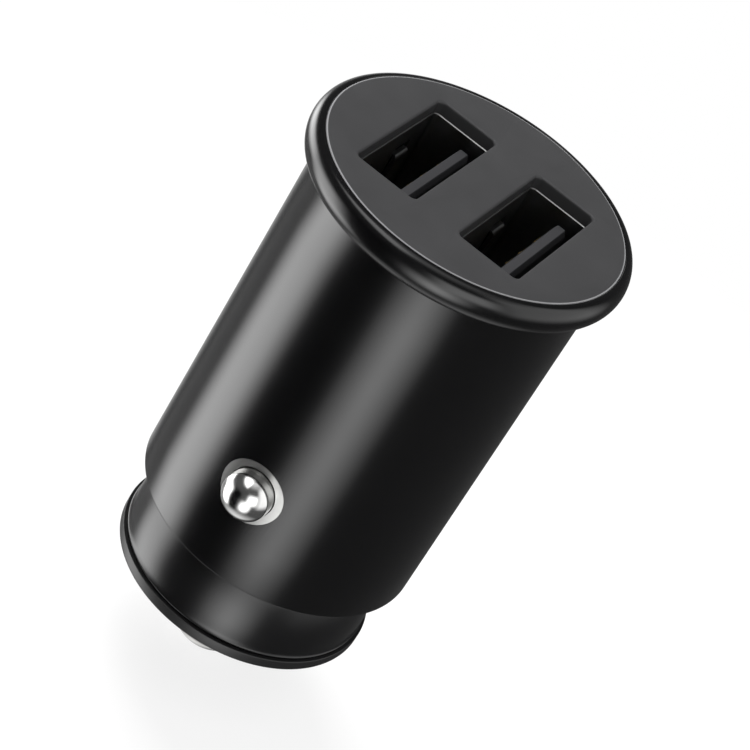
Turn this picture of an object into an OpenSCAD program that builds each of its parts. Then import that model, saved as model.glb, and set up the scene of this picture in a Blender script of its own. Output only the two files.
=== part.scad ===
// Two-port car charger plug for a 12 V socket, in millimetres.
// +Z runs along the plug's axis towards the ports. The origin lies on the axis in the seat plane,
// where the mouth of the socket meets the barrel just under the rim. The ports stand side by side
// along X, and the two sprung side contacts press outwards along -Y and +Y.

/* [Barrel] */
// Gap between the corners of the port shells and the barrel's bore
corner_gap = 0.63; // [0.5:0.01:0.8]
// Thickness of the barrel's wall
barrel_wall = 0.9; // [0.7:0.05:1]
// Length of the barrel below the side contacts' centre
barrel_low = 7.4; // [7:0.05:9]
// Amount by which the lower end of the barrel is smaller in radius than the straight part
entry_taper = 0.1; // [0.05:0.01:0.2]
// Rounding of the barrel's lower edge
barrel_edge_r = 0.3; // [0.15:0.05:0.45]

/* [Rim] */
// Height of the flat face above the seat plane
face_height = 3; // [2.9:0.05:3.2]
// How far the edge of the flat face stands out from the barrel
face_over = 0.65; // [0.5:0.05:0.9]
// How far the rim's widest point stands out from the edge of the face
rim_bulge = 0.75; // [0.6:0.05:1]
// Depth of the rim's widest point below the face
rim_drop = 1.15; // [0.9:0.05:1.2]
// Height of the rim's rounded underside below its widest point
rim_low_h = 1.3; // [1.1:0.05:1.4]
// Radius of the hollow fillet between rim and barrel
rim_fillet = 0.25; // [0.1:0.05:0.25]

/* [Face plate] */
// Thickness of the face plate's disc
plate_t = 1.6; // [1.3:0.1:1.8]
// Depth of the boss behind the disc that fills the barrel's mouth
plate_boss_h = 2.4; // [1.8:0.1:3]
// Width of the metal lip left around the face plate
plate_lip = 0.15; // [0.1:0.01:0.2]
// Chamfer on the edge of the face plate
plate_chamfer = 0.08; // [0.04:0.01:0.12]

/* [Ports] */
// Distance between the centres of the two ports
port_pitch = 8.5; // [8.3:0.1:8.8]
// Short side of the opening in the face plate
port_w = 4.9; // [4.8:0.05:5]
// Long side of the opening in the face plate
port_l = 12.4; // [12.25:0.05:12.5]
// Corner radius of the opening
port_corner_r = 0.5; // [0.4:0.05:0.7]
// Bevel around the opening
port_bevel = 0.2; // [0.1:0.05:0.3]
// Depth of the metal shell's front edge below the face
shell_recess = 1; // [0.8:0.05:1.2]
// Width of the shell's front edge that shows inside the opening
shell_show = 0.1; // [0.05:0.01:0.12]
// Sheet thickness of the shell
shell_t = 0.3; // [0.25:0.01:0.32]
// Length of the shell along the plug
shell_len = 12; // [11.4:0.1:12.6]
// Length of a shell's spring finger
finger_len = 5; // [4:0.1:5.5]
// Width of a shell's spring finger
finger_w = 1.8; // [1.4:0.1:2.2]
// Distance between the two spring fingers on a long side
finger_pitch = 5.6; // [5:0.1:6.4]
// How far a spring finger's tip stands into the port
finger_press = 0.35; // [0.2:0.05:0.45]
// Width of the slot around a spring finger
finger_slot = 0.25; // [0.2:0.05:0.4]
// Height of a finger's window in the shell above the finger's tip
finger_head = 1; // [0.6:0.1:1.2]
// Distance of that window from the shell's front edge
finger_front = 1.6; // [1.2:0.1:2]
// Radius of the finger's rolled tip
finger_tip_r = 0.45; // [0.4:0.01:0.5]
// Width of a shell's solder leg
leg_l = 1.6; // [1.2:0.1:1.8]
// Distance of the solder legs' middle from the shell's short sides
leg_inset = 1.9; // [1.4:0.1:2.4]
// Length of the solder legs and tails below the board
leg_out = 0.6; // [0.4:0.1:0.8]

/* [Tongues] */
// Depth of the tongue's end below the face
tongue_recess = 1.6; // [1.5:0.05:2]
// Thickness of the tongue
tongue_t = 1.05; // [0.95:0.05:1.1]
// Gap between the tongue's edges and the shell's short sides
tongue_gap = 0.75; // [0.6:0.05:1]
// Distance of the tongue's middle from the port's middle
tongue_shift = 1.04; // [1:0.02:1.1]
// Thickness of the tongue's end after its chamfers
tongue_tip_t = 0.58; // [0.5:0.02:0.66]
// Length of the chamfers at the tongue's end
tongue_tip_h = 0.5; // [0.3:0.05:0.7]
// Thickness of the block that closes the back of the port
port_base_h = 2.2; // [1.8:0.1:2.6]
// Width of a contact strip on the tongue
strip_w = 1; // [0.8:0.05:1.1]
// Thickness of a contact strip
strip_t = 0.2; // [0.16:0.02:0.24]
// Distance from the end of the tongue to the end of the strips
strip_setback = 0.8; // [0.6:0.1:1.2]
// Distance of the inner two strips from the middle
strip_inner = 1; // [0.95:0.05:1.1]
// Distance of the outer two strips from the middle
strip_outer = 3.5; // [3.3:0.1:3.7]

/* [Boards] */
// Thickness of the two circuit boards
board_t = 1; // [0.8:0.1:1.2]
// Gap between the round connector board and the barrel's bore
connector_gap = 0.25; // [0.1:0.05:0.4]
// Gap between the power board's edges and the tail's spigot
board_gap = 0.3; // [0.2:0.05:0.5]
// Width of the power board's two tabs
board_tab_w = 1.6; // [1.2:0.1:2]
// Distance of the tabs from the middle of the board
board_tab_x = 7.3; // [7.1:0.05:7.5]

/* [Side contacts] */
// Height between the connector board and the side contacts' centre
parts_zone = 9.7; // [9.7:0.05:11]
// Diameter of the contact's shank and of its round end
contact_d = 3.6; // [3.4:0.1:3.8]
// How far the round end stands out of the barrel
contact_out = 2.1; // [2:0.05:2.2]
// Diameter of the flange that keeps the contact in
contact_flange_d = 4.7; // [4.5:0.1:4.8]
// Thickness of that flange
contact_flange_t = 0.5; // [0.4:0.05:0.7]
// Length of the peg that centres the spring
contact_peg_len = 1.2; // [0.8:0.1:1.5]
// Diameter of the metal bush around the contact
bush_d = 4.9; // [4.8:0.05:5.1]
// Length of the bush inside the barrel's wall
bush_inner_len = 0.5; // [0.4:0.05:0.7]
// Chamfer on the bore of the bush
bush_chamfer = 0.15; // [0.1:0.05:0.2]
// Distance between the straight part of the barrel and the bush
bush_margin = 0.65; // [0.6:0.05:1]

/* [Springs] */
// Outer diameter of a side contact's spring
side_spring_d = 3.4; // [3:0.1:3.6]
// Wire diameter of a side contact's spring
side_spring_wire = 0.35; // [0.3:0.05:0.4]
// Outer diameter of the centre pin's spring
pin_spring_d = 4; // [3.6:0.1:4.1]
// Wire diameter of the centre pin's spring
pin_spring_wire = 0.45; // [0.35:0.05:0.5]
// Number of turns of a side contact's spring
side_spring_turns = 8; // [5:1:10]
// Number of turns of the centre pin's spring
pin_spring_turns = 7; // [5:1:10]
// Diameter of the pegs that centre the side springs
spring_peg_d = 2; // [1.6:0.1:2.1]
// Width of the metal seat behind a side spring
spring_seat_w = 4.6; // [4:0.1:4.8]
// Sheet thickness of that seat
spring_seat_t = 0.3; // [0.25:0.05:0.4]

/* [Tail] */
// How far the tail's neck stays back from the barrel
neck_in = 2.15; // [1.95:0.05:2.35]
// Radius of the hollow fillet at the top of the neck
neck_fillet = 0.35; // [0.2:0.05:0.5]
// How far the tail's waist stands out from its neck
waist_out = 0.96; // [0.8:0.02:1.1]
// Height of the rounded shoulder under the barrel
shoulder_h = 5.3; // [5:0.1:5.6]
// How far the tail's foot stands out from its waist
foot_out = 0.42; // [0.3:0.02:0.6]
// Height of the flare between waist and foot
flare_h = 0.45; // [0.4:0.05:0.8]
// Rounding of the foot's lower edge
foot_round = 0.2; // [0.1:0.05:0.3]
// How far the end cap stays back from the tail's foot
cap_step = 0.1; // [0.05:0.01:0.2]
// Chamfer of the end cap's upper edge at the seam
seam_chamfer = 0.1; // [0.05:0.01:0.14]
// Rounding of the end cap's lower edge
cap_edge = 0.2; // [0.1:0.05:0.3]
// Height of the hollow ring inside the tail's foot
pocket_h = 4.2; // [3.6:0.1:4.6]
// Thickness of the walls on both sides of that hollow ring
pocket_wall = 1.2; // [1:0.1:1.4]
// Height of the end cap's ring inside that hollow
cap_ring_h = 1.2; // [0.8:0.1:1.6]
// Thickness of the end cap's ring
cap_ring_t = 0.8; // [0.6:0.1:1]
// Length of the tail's spigot inside the barrel
spigot_len = 3; // [2.4:0.1:3.2]
// Wall thickness of that spigot
spigot_wall = 0.9; // [0.8:0.05:1]
// Depth of the tail's floor below the top of the spigot
floor_depth = 2.1; // [1.8:0.1:2.4]
// Depth of the well that holds the pin's seat
well_depth = 1.1; // [0.9:0.1:1.3]
// Diameter of that well
well_d = 12.4; // [11.8:0.1:13]

/* [Centre pin] */
// Thickness of the end cap's disc
cap_t = 0.9; // [0.8:0.05:1.1]
// Diameter of the nose around the pin
nose_d = 10.4; // [9.6:0.1:11]
// Height of the nose
nose_h = 2.8; // [2.2:0.1:3]
// Chamfer at the end of the nose
nose_chamfer = 0.6; // [0.3:0.05:0.9]
// Diameter of the centre pin
pin_d = 6; // [5.8:0.1:6.2]
// Radius of the pin's round end
pin_end_r = 3.4; // [3.2:0.1:4]
// How far the pin stands out of the nose
pin_out = 4.7; // [4.4:0.1:5.2]
// Diameter of the flange that keeps the pin in
pin_flange_d = 8; // [7.6:0.1:8.2]
// Thickness of that flange
pin_flange_t = 0.9; // [0.7:0.1:1.1]
// Wall thickness of the hollow pin
pin_wall = 0.8; // [0.7:0.05:0.9]
// Thickness of the pin's solid end
pin_end_t = 3.4; // [3:0.1:4]
// Gap between the pin's flange and the tail's bore
pin_flange_gap = 0.3; // [0.15:0.05:0.4]
// Thickness of the brass seat above the pin's spring
pin_seat_t = 0.4; // [0.3:0.05:0.6]
// Width of the blade that joins the seat to the power board
blade_w = 3; // [2:0.1:3.6]
// Height of that blade above the tail's floor
blade_h = 2; // [1.4:0.1:2.6]

/* [Electronics] */
// Outer diameter of the choke's ring core
choke_d = 5.6; // [5.2:0.1:5.8]
// Hole diameter of the choke's ring core
choke_hole_d = 2.6; // [2.4:0.1:2.8]
// Height of the choke's ring core
choke_h = 2.4; // [2:0.1:2.8]
// Gap between the choke and the connector board
choke_gap = 0.5; // [0.2:0.1:0.7]
// Wire thickness of the choke's winding
choke_wire = 0.32; // [0.26:0.02:0.34]
// Number of turns on the choke
choke_turns = 12; // [8:1:13]
// Diameter of the input capacitor's can
input_can_d = 6.2; // [5.8:0.1:6.3]
// Length of the input capacitor's can
input_can_len = 8.2; // [7:0.1:8.6]
// Diameter of the output capacitor's can
output_can_d = 5; // [4.6:0.1:5.4]
// Length of the output capacitor's can
output_can_len = 6.4; // [5:0.1:7.2]
// Distance of the two cans from the middle of the board
can_x = 5.3; // [5.2:0.05:5.4]
// Height of the cans above the tail's spigot
can_lift = 0.2; // [0.1:0.1:0.6]
// Depth of the rolled groove near a can's foot
can_groove = 0.2; // [0.1:0.05:0.25]
// Height of that groove above the foot
can_groove_z = 1.2; // [0.9:0.1:1.6]
// Distance between the two leads of a can
lead_pitch = 2.2; // [2:0.1:2.5]
// Thickness of a can's lead
lead_d = 0.5; // [0.4:0.05:0.6]
// Length of a lead below the can before it turns to the board
lead_drop = 0.7; // [0.5:0.1:1]
// Length of the converter chip's body
converter_l = 4.9; // [4.5:0.1:5.2]
// Width of the converter chip's body
converter_w = 3.9; // [3.6:0.1:4]
// Thickness of the chips' bodies
chip_t = 1.5; // [1.2:0.1:1.6]
// Length of the charging chip's body
charging_l = 2.9; // [2.6:0.1:3.1]
// Width of the charging chip's body
charging_w = 1.6; // [1.4:0.1:1.8]
// Length of the diode's body
diode_l = 4.3; // [4:0.1:4.4]
// Width of the diode's body
diode_w = 2.6; // [2.3:0.1:2.8]
// Length of the fuse
fuse_l = 3.2; // [3:0.1:3.4]
// Width of the fuse
fuse_w = 1.6; // [1.4:0.1:1.8]
// Length of a small chip capacitor or resistor
small_l = 2; // [1.8:0.1:2.1]
// Width of a small chip capacitor or resistor
small_w = 1.25; // [1.1:0.05:1.3]
// Thickness of a chip capacitor
small_t = 0.9; // [0.7:0.05:1]
// Length of the metal end of a chip capacitor, resistor or fuse
terminal_l = 0.35; // [0.25:0.05:0.45]
// How far such a metal end stands out around the body
terminal_out = 0.04; // [0.02:0.01:0.06]
// Distance between neighbouring small parts
small_pitch = 2; // [1.8:0.1:2.2]
// Distance of the small parts from the middle of the board
small_x = 5.6; // [5.2:0.1:6]
// Height of the lowest small part above the side contacts' centre
small_lift = 1; // [0.8:0.1:1.4]
// Height of the diode and fuse below the side contacts' centre
low_drop = 2.2; // [2:0.1:2.3]
// Distance of the diode from the middle of the board
diode_x = 5.4; // [5.2:0.1:5.6]
// Thickness of the diode's body
diode_t = 2; // [1.6:0.1:2.4]
// Distance of the fuse from the middle of the board
fuse_x = 5.2; // [5:0.1:5.6]
// Distance of the chips' upper legs from the connector board
chip_gap = 0.6; // [0.4:0.1:0.8]
// Place of the converter chip across the board
converter_x = -0.4; // [-0.6:0.1:-0.2]
// Place of the charging chip across the board
charging_x = 5.6; // [5.2:0.1:6]
// Length of a chip's legs along the board
chip_leg_l = 1; // [0.8:0.1:1.1]
// Width of a chip's leg
chip_leg_w = 0.4; // [0.3:0.05:0.45]
// Thickness of a chip's leg
chip_leg_t = 0.2; // [0.15:0.05:0.25]

/* [Fits] */
// Gap around a part that is pressed or glued in
press_gap = 0.02; // [0.01:0.01:0.03]
// Radial gap around a part that slides
slide_gap = 0.05; // [0.03:0.01:0.08]
// Gap around the port shells in the face plate
shell_gap = 0.05; // [0.03:0.01:0.06]

/* [Hidden] */
$fn = 96;
small_fn = 48;
arc_steps = 12;
cut = 1;

// Barrel and rim
shell_in_w = port_w - 2 * shell_show;
shell_in_l = port_l - 2 * shell_show;
shell_out_w = shell_in_w + 2 * shell_t;
shell_out_l = shell_in_l + 2 * shell_t;
shell_in_r = port_corner_r - shell_show;
shell_out_r = shell_in_r + shell_t;
shell_front_z = face_height - shell_recess;
shell_back_z = shell_front_z - shell_len;
corner_x = (port_pitch + shell_out_w) / 2 - shell_out_r;
corner_y = shell_out_l / 2 - shell_out_r;
corner_reach = sqrt(corner_x * corner_x + corner_y * corner_y) + shell_out_r;
barrel_bore_r = corner_reach + corner_gap;
barrel_r = barrel_bore_r + barrel_wall;
contact_drop = parts_zone + board_t - shell_back_z;
barrel_len = contact_drop + barrel_low;
straight_len = contact_drop - bush_d / 2 - bush_margin;
entry_r = barrel_r - entry_taper;
face_r = barrel_r + face_over;
rim_r = face_r + rim_bulge;
rim_low_in = rim_r - barrel_r - rim_fillet;
rim_mid_z = face_height - rim_drop;
rim_under_z = rim_mid_z - rim_low_h;
plate_r = face_r - plate_lip;
plate_seat_z = face_height - plate_t;

// Ports
tongue_w = shell_in_l - 2 * tongue_gap;
leg_place = shell_in_l / 2 - leg_inset;
base_top_z = shell_back_z + port_base_h;
tongue_end_z = face_height - tongue_recess;
tongue_x = tongue_shift - tongue_t / 2;
strip_end_z = tongue_end_z - strip_setback;
strip_places = [-strip_outer, -strip_inner, strip_inner, strip_outer];
finger_root_z = shell_front_z - finger_front - finger_head - finger_len;
leg_len = board_t + leg_out;

// Boards
connector_top_z = shell_back_z;
connector_under_z = connector_top_z - board_t;
connector_r = barrel_bore_r - connector_gap;
spigot_r = barrel_bore_r - press_gap;
spigot_bore_r = spigot_r - spigot_wall;
tail_floor_z = -barrel_len + spigot_len - floor_depth;
board_face = board_t / 2;
board_half_w = sqrt(spigot_bore_r * spigot_bore_r - board_face * board_face) - board_gap;

// Side contacts
bush_r = bush_d / 2;
contact_r = contact_d / 2;
bush_bore_r = contact_r + slide_gap;
contact_tip = barrel_r + contact_out;
contact_centre = contact_tip - contact_r;
bush_inner_end = barrel_bore_r - bush_inner_len;
flange_back = bush_inner_end - contact_flange_t;
seat_face = board_face + spring_seat_t;

// Tail and centre pin
tail_top_z = -barrel_len;
neck_r = barrel_r - neck_in;
waist_r = neck_r + waist_out;
foot_r = waist_r + foot_out;
waist_z = tail_top_z - shoulder_h;
cap_top_z = waist_z - flare_h - foot_round;
cap_r = foot_r - cap_step;
cap_under_z = cap_top_z - cap_t;
nose_end_z = cap_under_z - nose_h;
well_z = tail_floor_z - well_depth;
pin_r = pin_d / 2;
pin_tip_z = nose_end_z - pin_out;
pin_end_h = pin_end_r - sqrt(pin_end_r * pin_end_r - pin_r * pin_r);
pin_flange_z = cap_top_z + pin_flange_t;
pin_bore_r = pin_r - pin_wall;
pin_bore_z = pin_tip_z + pin_end_t;
pin_hole_r = pin_flange_d / 2 + pin_flange_gap;
pocket_in_r = pin_hole_r + pocket_wall;
pocket_out_r = neck_r - pocket_wall;
well_r = well_d / 2;
nose_r = nose_d / 2;

// Finishes
metal_black = [0.09, 0.09, 0.1];
plate_grey = [0.2, 0.2, 0.21];
moulded_black = [0.07, 0.07, 0.08];
nickel = [0.78, 0.78, 0.8];
brass = [0.8, 0.66, 0.35];
board_green = [0.1, 0.32, 0.2];
ferrite = [0.22, 0.22, 0.24];
copper = [0.72, 0.42, 0.2];
chip_black = [0.12, 0.12, 0.13];
can_sleeve = [0.16, 0.18, 0.3];
ceramic_tan = [0.62, 0.48, 0.34];

// A rectangle with round corners, centred on the origin
module round_rect(w, l, r) {
    square([w - 2 * r, l], center = true);
    square([w, l - 2 * r], center = true);
    for (sx = [-1, 1], sy = [-1, 1])
        translate([sx * (w / 2 - r), sy * (l / 2 - r)])
            circle(r = r, $fn = small_fn);
}

// The same rectangle, widening upwards by the bevel over its height
module bevel_block(w, l, r, bevel) {
    for (sx = [-1, 1], sy = [-1, 1])
        translate([sx * (w / 2 - r), sy * (l / 2 - r), 0])
            cylinder(h = bevel, r1 = r, r2 = r + bevel, $fn = small_fn);
    rotate([90, 0, 0])
        linear_extrude(l - 2 * r, center = true)
            polygon([[-w / 2, 0], [w / 2, 0], [w / 2 + bevel, bevel], [-w / 2 - bevel, bevel]]);
    rotate([90, 0, 90])
        linear_extrude(w - 2 * r, center = true)
            polygon([[-l / 2, 0], [l / 2, 0], [l / 2 + bevel, bevel], [-l / 2 - bevel, bevel]]);
}

// Puts its children at the port on one side: -1 for the left one, 1 for the right one
module at_port(side) {
    translate([side * port_pitch / 2, 0, 0])
        children();
}

// Turns its children, built along -Y, to the front (1) or the rear (-1) at the contacts' height
module at_contact(side) {
    translate([0, 0, -contact_drop])
        rotate([0, 0, side > 0 ? 0 : 180])
            children();
}

// A round bar of length len that starts at distance start from the axis and runs out along -Y
module bar_out(start, len, r) {
    translate([0, -start, 0])
        rotate([90, 0, 0])
            cylinder(h = len, r = r, $fn = small_fn);
}

// Points of the barrel's and rim's outer outline, from the lower edge up to the face
function edge_point(a) = [
    entry_r - barrel_edge_r * (1 - sin(a)),
    -barrel_len + barrel_edge_r * (1 - cos(a))
];
function fillet_point(a) = [
    barrel_r + rim_fillet * (1 - cos(a)),
    rim_under_z - rim_fillet * (1 - sin(a))
];
function rim_low_point(a) = [
    rim_r - rim_low_in * (1 - cos(a)),
    rim_mid_z - rim_low_h * sin(a)
];
function rim_top_point(a) = [
    face_r + (rim_r - face_r) * sin(a),
    rim_mid_z + rim_drop * cos(a)
];
quarter = [for (i = [0:arc_steps]) 90 * i / arc_steps];
quarter_back = [for (i = [arc_steps:-1:0]) 90 * i / arc_steps];
barrel_outline = concat(
    [for (a = quarter) edge_point(a)],
    [[barrel_r, -straight_len]],
    [for (a = quarter) fillet_point(a)],
    [for (a = quarter_back) rim_low_point(a)],
    [for (i = [arc_steps - 1:-1:0]) rim_top_point(90 * i / arc_steps)]
);

// Drawn metal barrel with its rolled rim, a seat for the face plate and a hole for each bush
module barrel_shell() {
    color(metal_black)
        difference() {
            rotate_extrude()
                polygon(concat([[barrel_bore_r, -barrel_len]], barrel_outline, [[barrel_bore_r, face_height]]));
            translate([0, 0, plate_seat_z])
                cylinder(h = 2 * plate_t, r = plate_r + press_gap);
            for (side = [-1, 1])
                at_contact(side)
                    bar_out(bush_inner_end, bush_inner_len + barrel_wall + cut, bush_r + press_gap);
        }
}

// The space that a port needs in the face plate
module port_cut() {
    translate([0, 0, shell_front_z - cut])
        linear_extrude(shell_recess + 2 * cut)
            round_rect(port_w, port_l, port_corner_r);
    translate([0, 0, face_height - port_bevel])
        bevel_block(port_w, port_l, port_corner_r, port_bevel);
    translate([0, 0, shell_front_z - plate_t - plate_boss_h])
        linear_extrude(plate_t + plate_boss_h)
            round_rect(shell_out_w + 2 * shell_gap, shell_out_l + 2 * shell_gap, shell_out_r + shell_gap);
}

// Moulded plate that closes the barrel, with two bevelled openings
module face_plate() {
    color(plate_grey)
        difference() {
            union() {
                translate([0, 0, plate_seat_z])
                    cylinder(h = plate_t - plate_chamfer, r = plate_r);
                translate([0, 0, face_height - plate_chamfer])
                    cylinder(h = plate_chamfer, r1 = plate_r, r2 = plate_r - plate_chamfer);
                translate([0, 0, plate_seat_z - plate_boss_h])
                    cylinder(h = plate_boss_h, r = barrel_bore_r - press_gap);
            }
            for (side = [-1, 1])
                at_port(side)
                    port_cut();
        }
}

// A spring finger of a shell's wall: a strip that leans into the port and ends in a round tip.
// It stands in the XZ plane, with the wall's inner face at x = 0 and the port towards +X.
module finger() {
    lean = atan(finger_press / finger_len);
    translate([0, 0, finger_root_z])
        rotate([0, lean, 0])
            translate([-shell_t, -finger_w / 2, -shell_t])
                cube([shell_t, finger_w, shell_t + finger_len]);
    translate([finger_press - finger_tip_r, 0, finger_root_z + finger_len])
        rotate([90, 0, 0])
            linear_extrude(finger_w, center = true)
                intersection() {
                    difference() {
                        circle(r = finger_tip_r, $fn = small_fn);
                        circle(r = finger_tip_r - shell_t / 2, $fn = small_fn);
                    }
                    translate([0, -finger_tip_r / 2])
                        square([finger_tip_r, 1.5 * finger_tip_r]);
                }
}

// The window that a finger leaves in its wall
module finger_window() {
    translate([-1.5 * shell_t, -finger_w / 2 - finger_slot, finger_root_z])
        cube([2 * shell_t, finger_w + 2 * finger_slot, finger_len + finger_head]);
}

// Places its children at the finger's root on each of the four walls
module at_fingers() {
    for (y = [-finger_pitch / 2, finger_pitch / 2]) {
        translate([-shell_in_w / 2, y, 0])
            children();
        translate([shell_in_w / 2, y, 0])
            rotate([0, 0, 180])
                children();
    }
}

// Folded sheet shell of one port, with four spring fingers and four solder legs
module port_shell() {
    color(nickel) {
        difference() {
            translate([0, 0, shell_back_z])
                linear_extrude(shell_len)
                    round_rect(shell_out_w, shell_out_l, shell_out_r);
            translate([0, 0, shell_back_z - cut])
                linear_extrude(shell_len + 2 * cut)
                    round_rect(shell_in_w, shell_in_l, shell_in_r);
            at_fingers()
                finger_window();
        }
        at_fingers()
            finger();
        shell_legs(shell_t, leg_len);
    }
}

// The four solder legs of a shell, with sheet thickness t and length h below the shell
module shell_legs(t, h) {
    for (sx = [-1, 1], y = [-leg_place, leg_place])
        translate([sx * (shell_in_w + shell_t) / 2 - t / 2, y - leg_l / 2, shell_back_z - h])
            cube([t, leg_l, h]);
}

// The strips of one port as a group, each with its solder tail through the board
module strip_group(t, w) {
    for (y = strip_places)
        translate([tongue_x - (strip_t + t) / 2, y - w / 2, shell_back_z - leg_len])
            cube([t, w, leg_len + strip_end_z - shell_back_z]);
}

// Moulded tongue and the block behind it
module port_tongue() {
    tip = (tongue_t - tongue_tip_t) / 2;
    color(moulded_black)
        difference() {
            union() {
                rotate([90, 0, 0])
                    linear_extrude(tongue_w, center = true)
                        polygon([
                            [tongue_x, shell_back_z],
                            [tongue_x + tongue_t, shell_back_z],
                            [tongue_x + tongue_t, tongue_end_z - tongue_tip_h],
                            [tongue_x + tongue_t - tip, tongue_end_z],
                            [tongue_x + tip, tongue_end_z],
                            [tongue_x, tongue_end_z - tongue_tip_h]
                        ]);
                translate([0, 0, shell_back_z])
                    linear_extrude(port_base_h)
                        round_rect(shell_in_w - 2 * press_gap, shell_in_l - 2 * press_gap, shell_in_r);
            }
            strip_group(strip_t, strip_w);
        }
}

module port_strips() {
    color(brass)
        strip_group(strip_t, strip_w);
}

module left_port_shell() {
    at_port(-1)
        port_shell();
}

module right_port_shell() {
    at_port(1)
        port_shell();
}

module left_port_tongue() {
    at_port(-1)
        port_tongue();
}

module right_port_tongue() {
    at_port(1)
        port_tongue();
}

module left_port_strips() {
    at_port(-1)
        port_strips();
}

module right_port_strips() {
    at_port(1)
        port_strips();
}

// Round board that the shells and strips are soldered into
module connector_board() {
    color(board_green)
        difference() {
            translate([0, 0, connector_under_z])
                cylinder(h = board_t, r = connector_r);
            for (side = [-1, 1])
                at_port(side) {
                    shell_legs(shell_t + 2 * press_gap, leg_len);
                    strip_group(strip_t + 2 * press_gap, strip_w + 2 * press_gap);
                }
            for (sx = [-1, 1])
                translate([sx * board_tab_x, 0, connector_under_z + board_t / 2])
                    cube([board_tab_w + 2 * press_gap, board_t + 2 * press_gap, 2 * board_t], center = true);
        }
}

// Upright board that stands on the tail's floor and reaches through the connector board with two tabs
module power_board() {
    color(board_green) {
        translate([-board_half_w, -board_face, tail_floor_z])
            cube([2 * board_half_w, board_t, connector_under_z - tail_floor_z]);
        for (sx = [-1, 1])
            translate([sx * board_tab_x - board_tab_w / 2, -board_face, connector_under_z])
                cube([board_tab_w, board_t, board_t]);
    }
}

// Metal bush in the barrel's wall, flush with its outer face
module side_bush(side) {
    color(nickel)
        intersection() {
            barrel_solid();
            at_contact(side)
                difference() {
                    bar_out(bush_inner_end, bush_inner_len + barrel_wall + cut, bush_r);
                    bar_out(bush_inner_end - cut, bush_inner_len + barrel_wall + 3 * cut, bush_bore_r);
                    translate([0, -barrel_r + bush_chamfer, 0])
                        rotate([90, 0, 0])
                            cylinder(h = cut, r1 = bush_bore_r, r2 = bush_bore_r + cut, $fn = small_fn);
                }
        }
}

// The barrel's outer form as a solid, which trims the bushes flush
module barrel_solid() {
    rotate_extrude()
        polygon([[0, -barrel_len], [entry_r, -barrel_len], [barrel_r, -straight_len], [barrel_r, 0], [0, 0]]);
}

// Side contact: a round-ended shank with a flange behind the bush and a peg for the spring
module side_contact(side) {
    color(nickel)
        at_contact(side) {
            translate([0, -contact_centre, 0])
                sphere(r = contact_r, $fn = small_fn);
            bar_out(flange_back, contact_centre - flange_back, contact_r);
            bar_out(flange_back, contact_flange_t, contact_flange_d / 2);
            bar_out(flange_back - contact_peg_len, contact_peg_len, spring_peg_d / 2);
        }
}

// Metal plate on the power board, with the peg that centres the spring's inner end
module spring_seat(side) {
    color(brass)
        at_contact(side) {
            translate([-spring_seat_w / 2, -seat_face, -spring_seat_w / 2])
                cube([spring_seat_w, spring_seat_t, spring_seat_w]);
            bar_out(seat_face, contact_peg_len, spring_peg_d / 2);
        }
}

// A coil spring along +Z: mean radius r, wire radius w, length h between its end faces
coil_sides = 8;
coil_steps = 18;
function coil_point(i, turns, r, w, h, k) =
    let (
        turn = i / coil_steps,
        z = w + (h - 2 * w) * i / (turns * coil_steps),
        a = 360 * turn,
        b = 360 * k / coil_sides,
        out = r + w * cos(b)
    ) [out * cos(a), out * sin(a), z + w * sin(b)];

module coil(turns, r, w, h) {
    rings = turns * coil_steps;
    points = [for (i = [0:rings], k = [0:coil_sides - 1]) coil_point(i, turns, r, w, h, k)];
    walls = [
        for (i = [0:rings - 1], k = [0:coil_sides - 1])
            [
                i * coil_sides + k,
                (i + 1) * coil_sides + k,
                (i + 1) * coil_sides + (k + 1) % coil_sides,
                i * coil_sides + (k + 1) % coil_sides
            ]
    ];
    first = [for (k = [0:coil_sides - 1]) k];
    last = [for (k = [coil_sides - 1:-1:0]) rings * coil_sides + k];
    polyhedron(points = points, faces = concat(walls, [first], [last]));
}

module side_spring(side) {
    wire_r = side_spring_wire / 2;
    color(nickel)
        at_contact(side)
            translate([0, -seat_face, 0])
                rotate([90, 0, 0])
                    coil(side_spring_turns, side_spring_d / 2 - wire_r, wire_r, flange_back - seat_face);
}

module pin_spring() {
    wire_r = pin_spring_wire / 2;
    color(nickel)
        translate([0, 0, pin_bore_z])
            coil(pin_spring_turns, pin_spring_d / 2 - wire_r, wire_r, well_z - pin_bore_z);
}

module front_contact() {
    side_contact(1);
}

module rear_contact() {
    side_contact(-1);
}

module front_bush() {
    side_bush(1);
}

module rear_bush() {
    side_bush(-1);
}

module front_spring() {
    side_spring(1);
}

module rear_spring() {
    side_spring(-1);
}

module front_spring_seat() {
    spring_seat(1);
}

module rear_spring_seat() {
    spring_seat(-1);
}

// Points of the tail's outer outline: a fillet under the barrel, the shoulder and the flare
function shoulder_r(d) = waist_r - (waist_r - neck_r) * pow(1 - d / shoulder_h, 2);
function neck_point(a) = [
    shoulder_r(neck_fillet) + neck_fillet * (1 - sin(a)),
    tail_top_z - neck_fillet * (1 - cos(a))
];
function flare_point(a) = [foot_r - foot_out * cos(a), waist_z - flare_h * sin(a)];
function foot_point(a) = [foot_r - foot_round * (1 - cos(a)), waist_z - flare_h - foot_round * sin(a)];
tail_outline = concat(
    [for (a = quarter) neck_point(a)],
    [
        for (i = [1:arc_steps])
            let (d = neck_fillet + (shoulder_h - neck_fillet) * i / arc_steps)
                [shoulder_r(d), tail_top_z - d]
    ],
    [for (i = [1:arc_steps]) flare_point(90 * i / arc_steps)],
    [for (i = [1:arc_steps]) foot_point(90 * i / arc_steps)]
);

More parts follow.
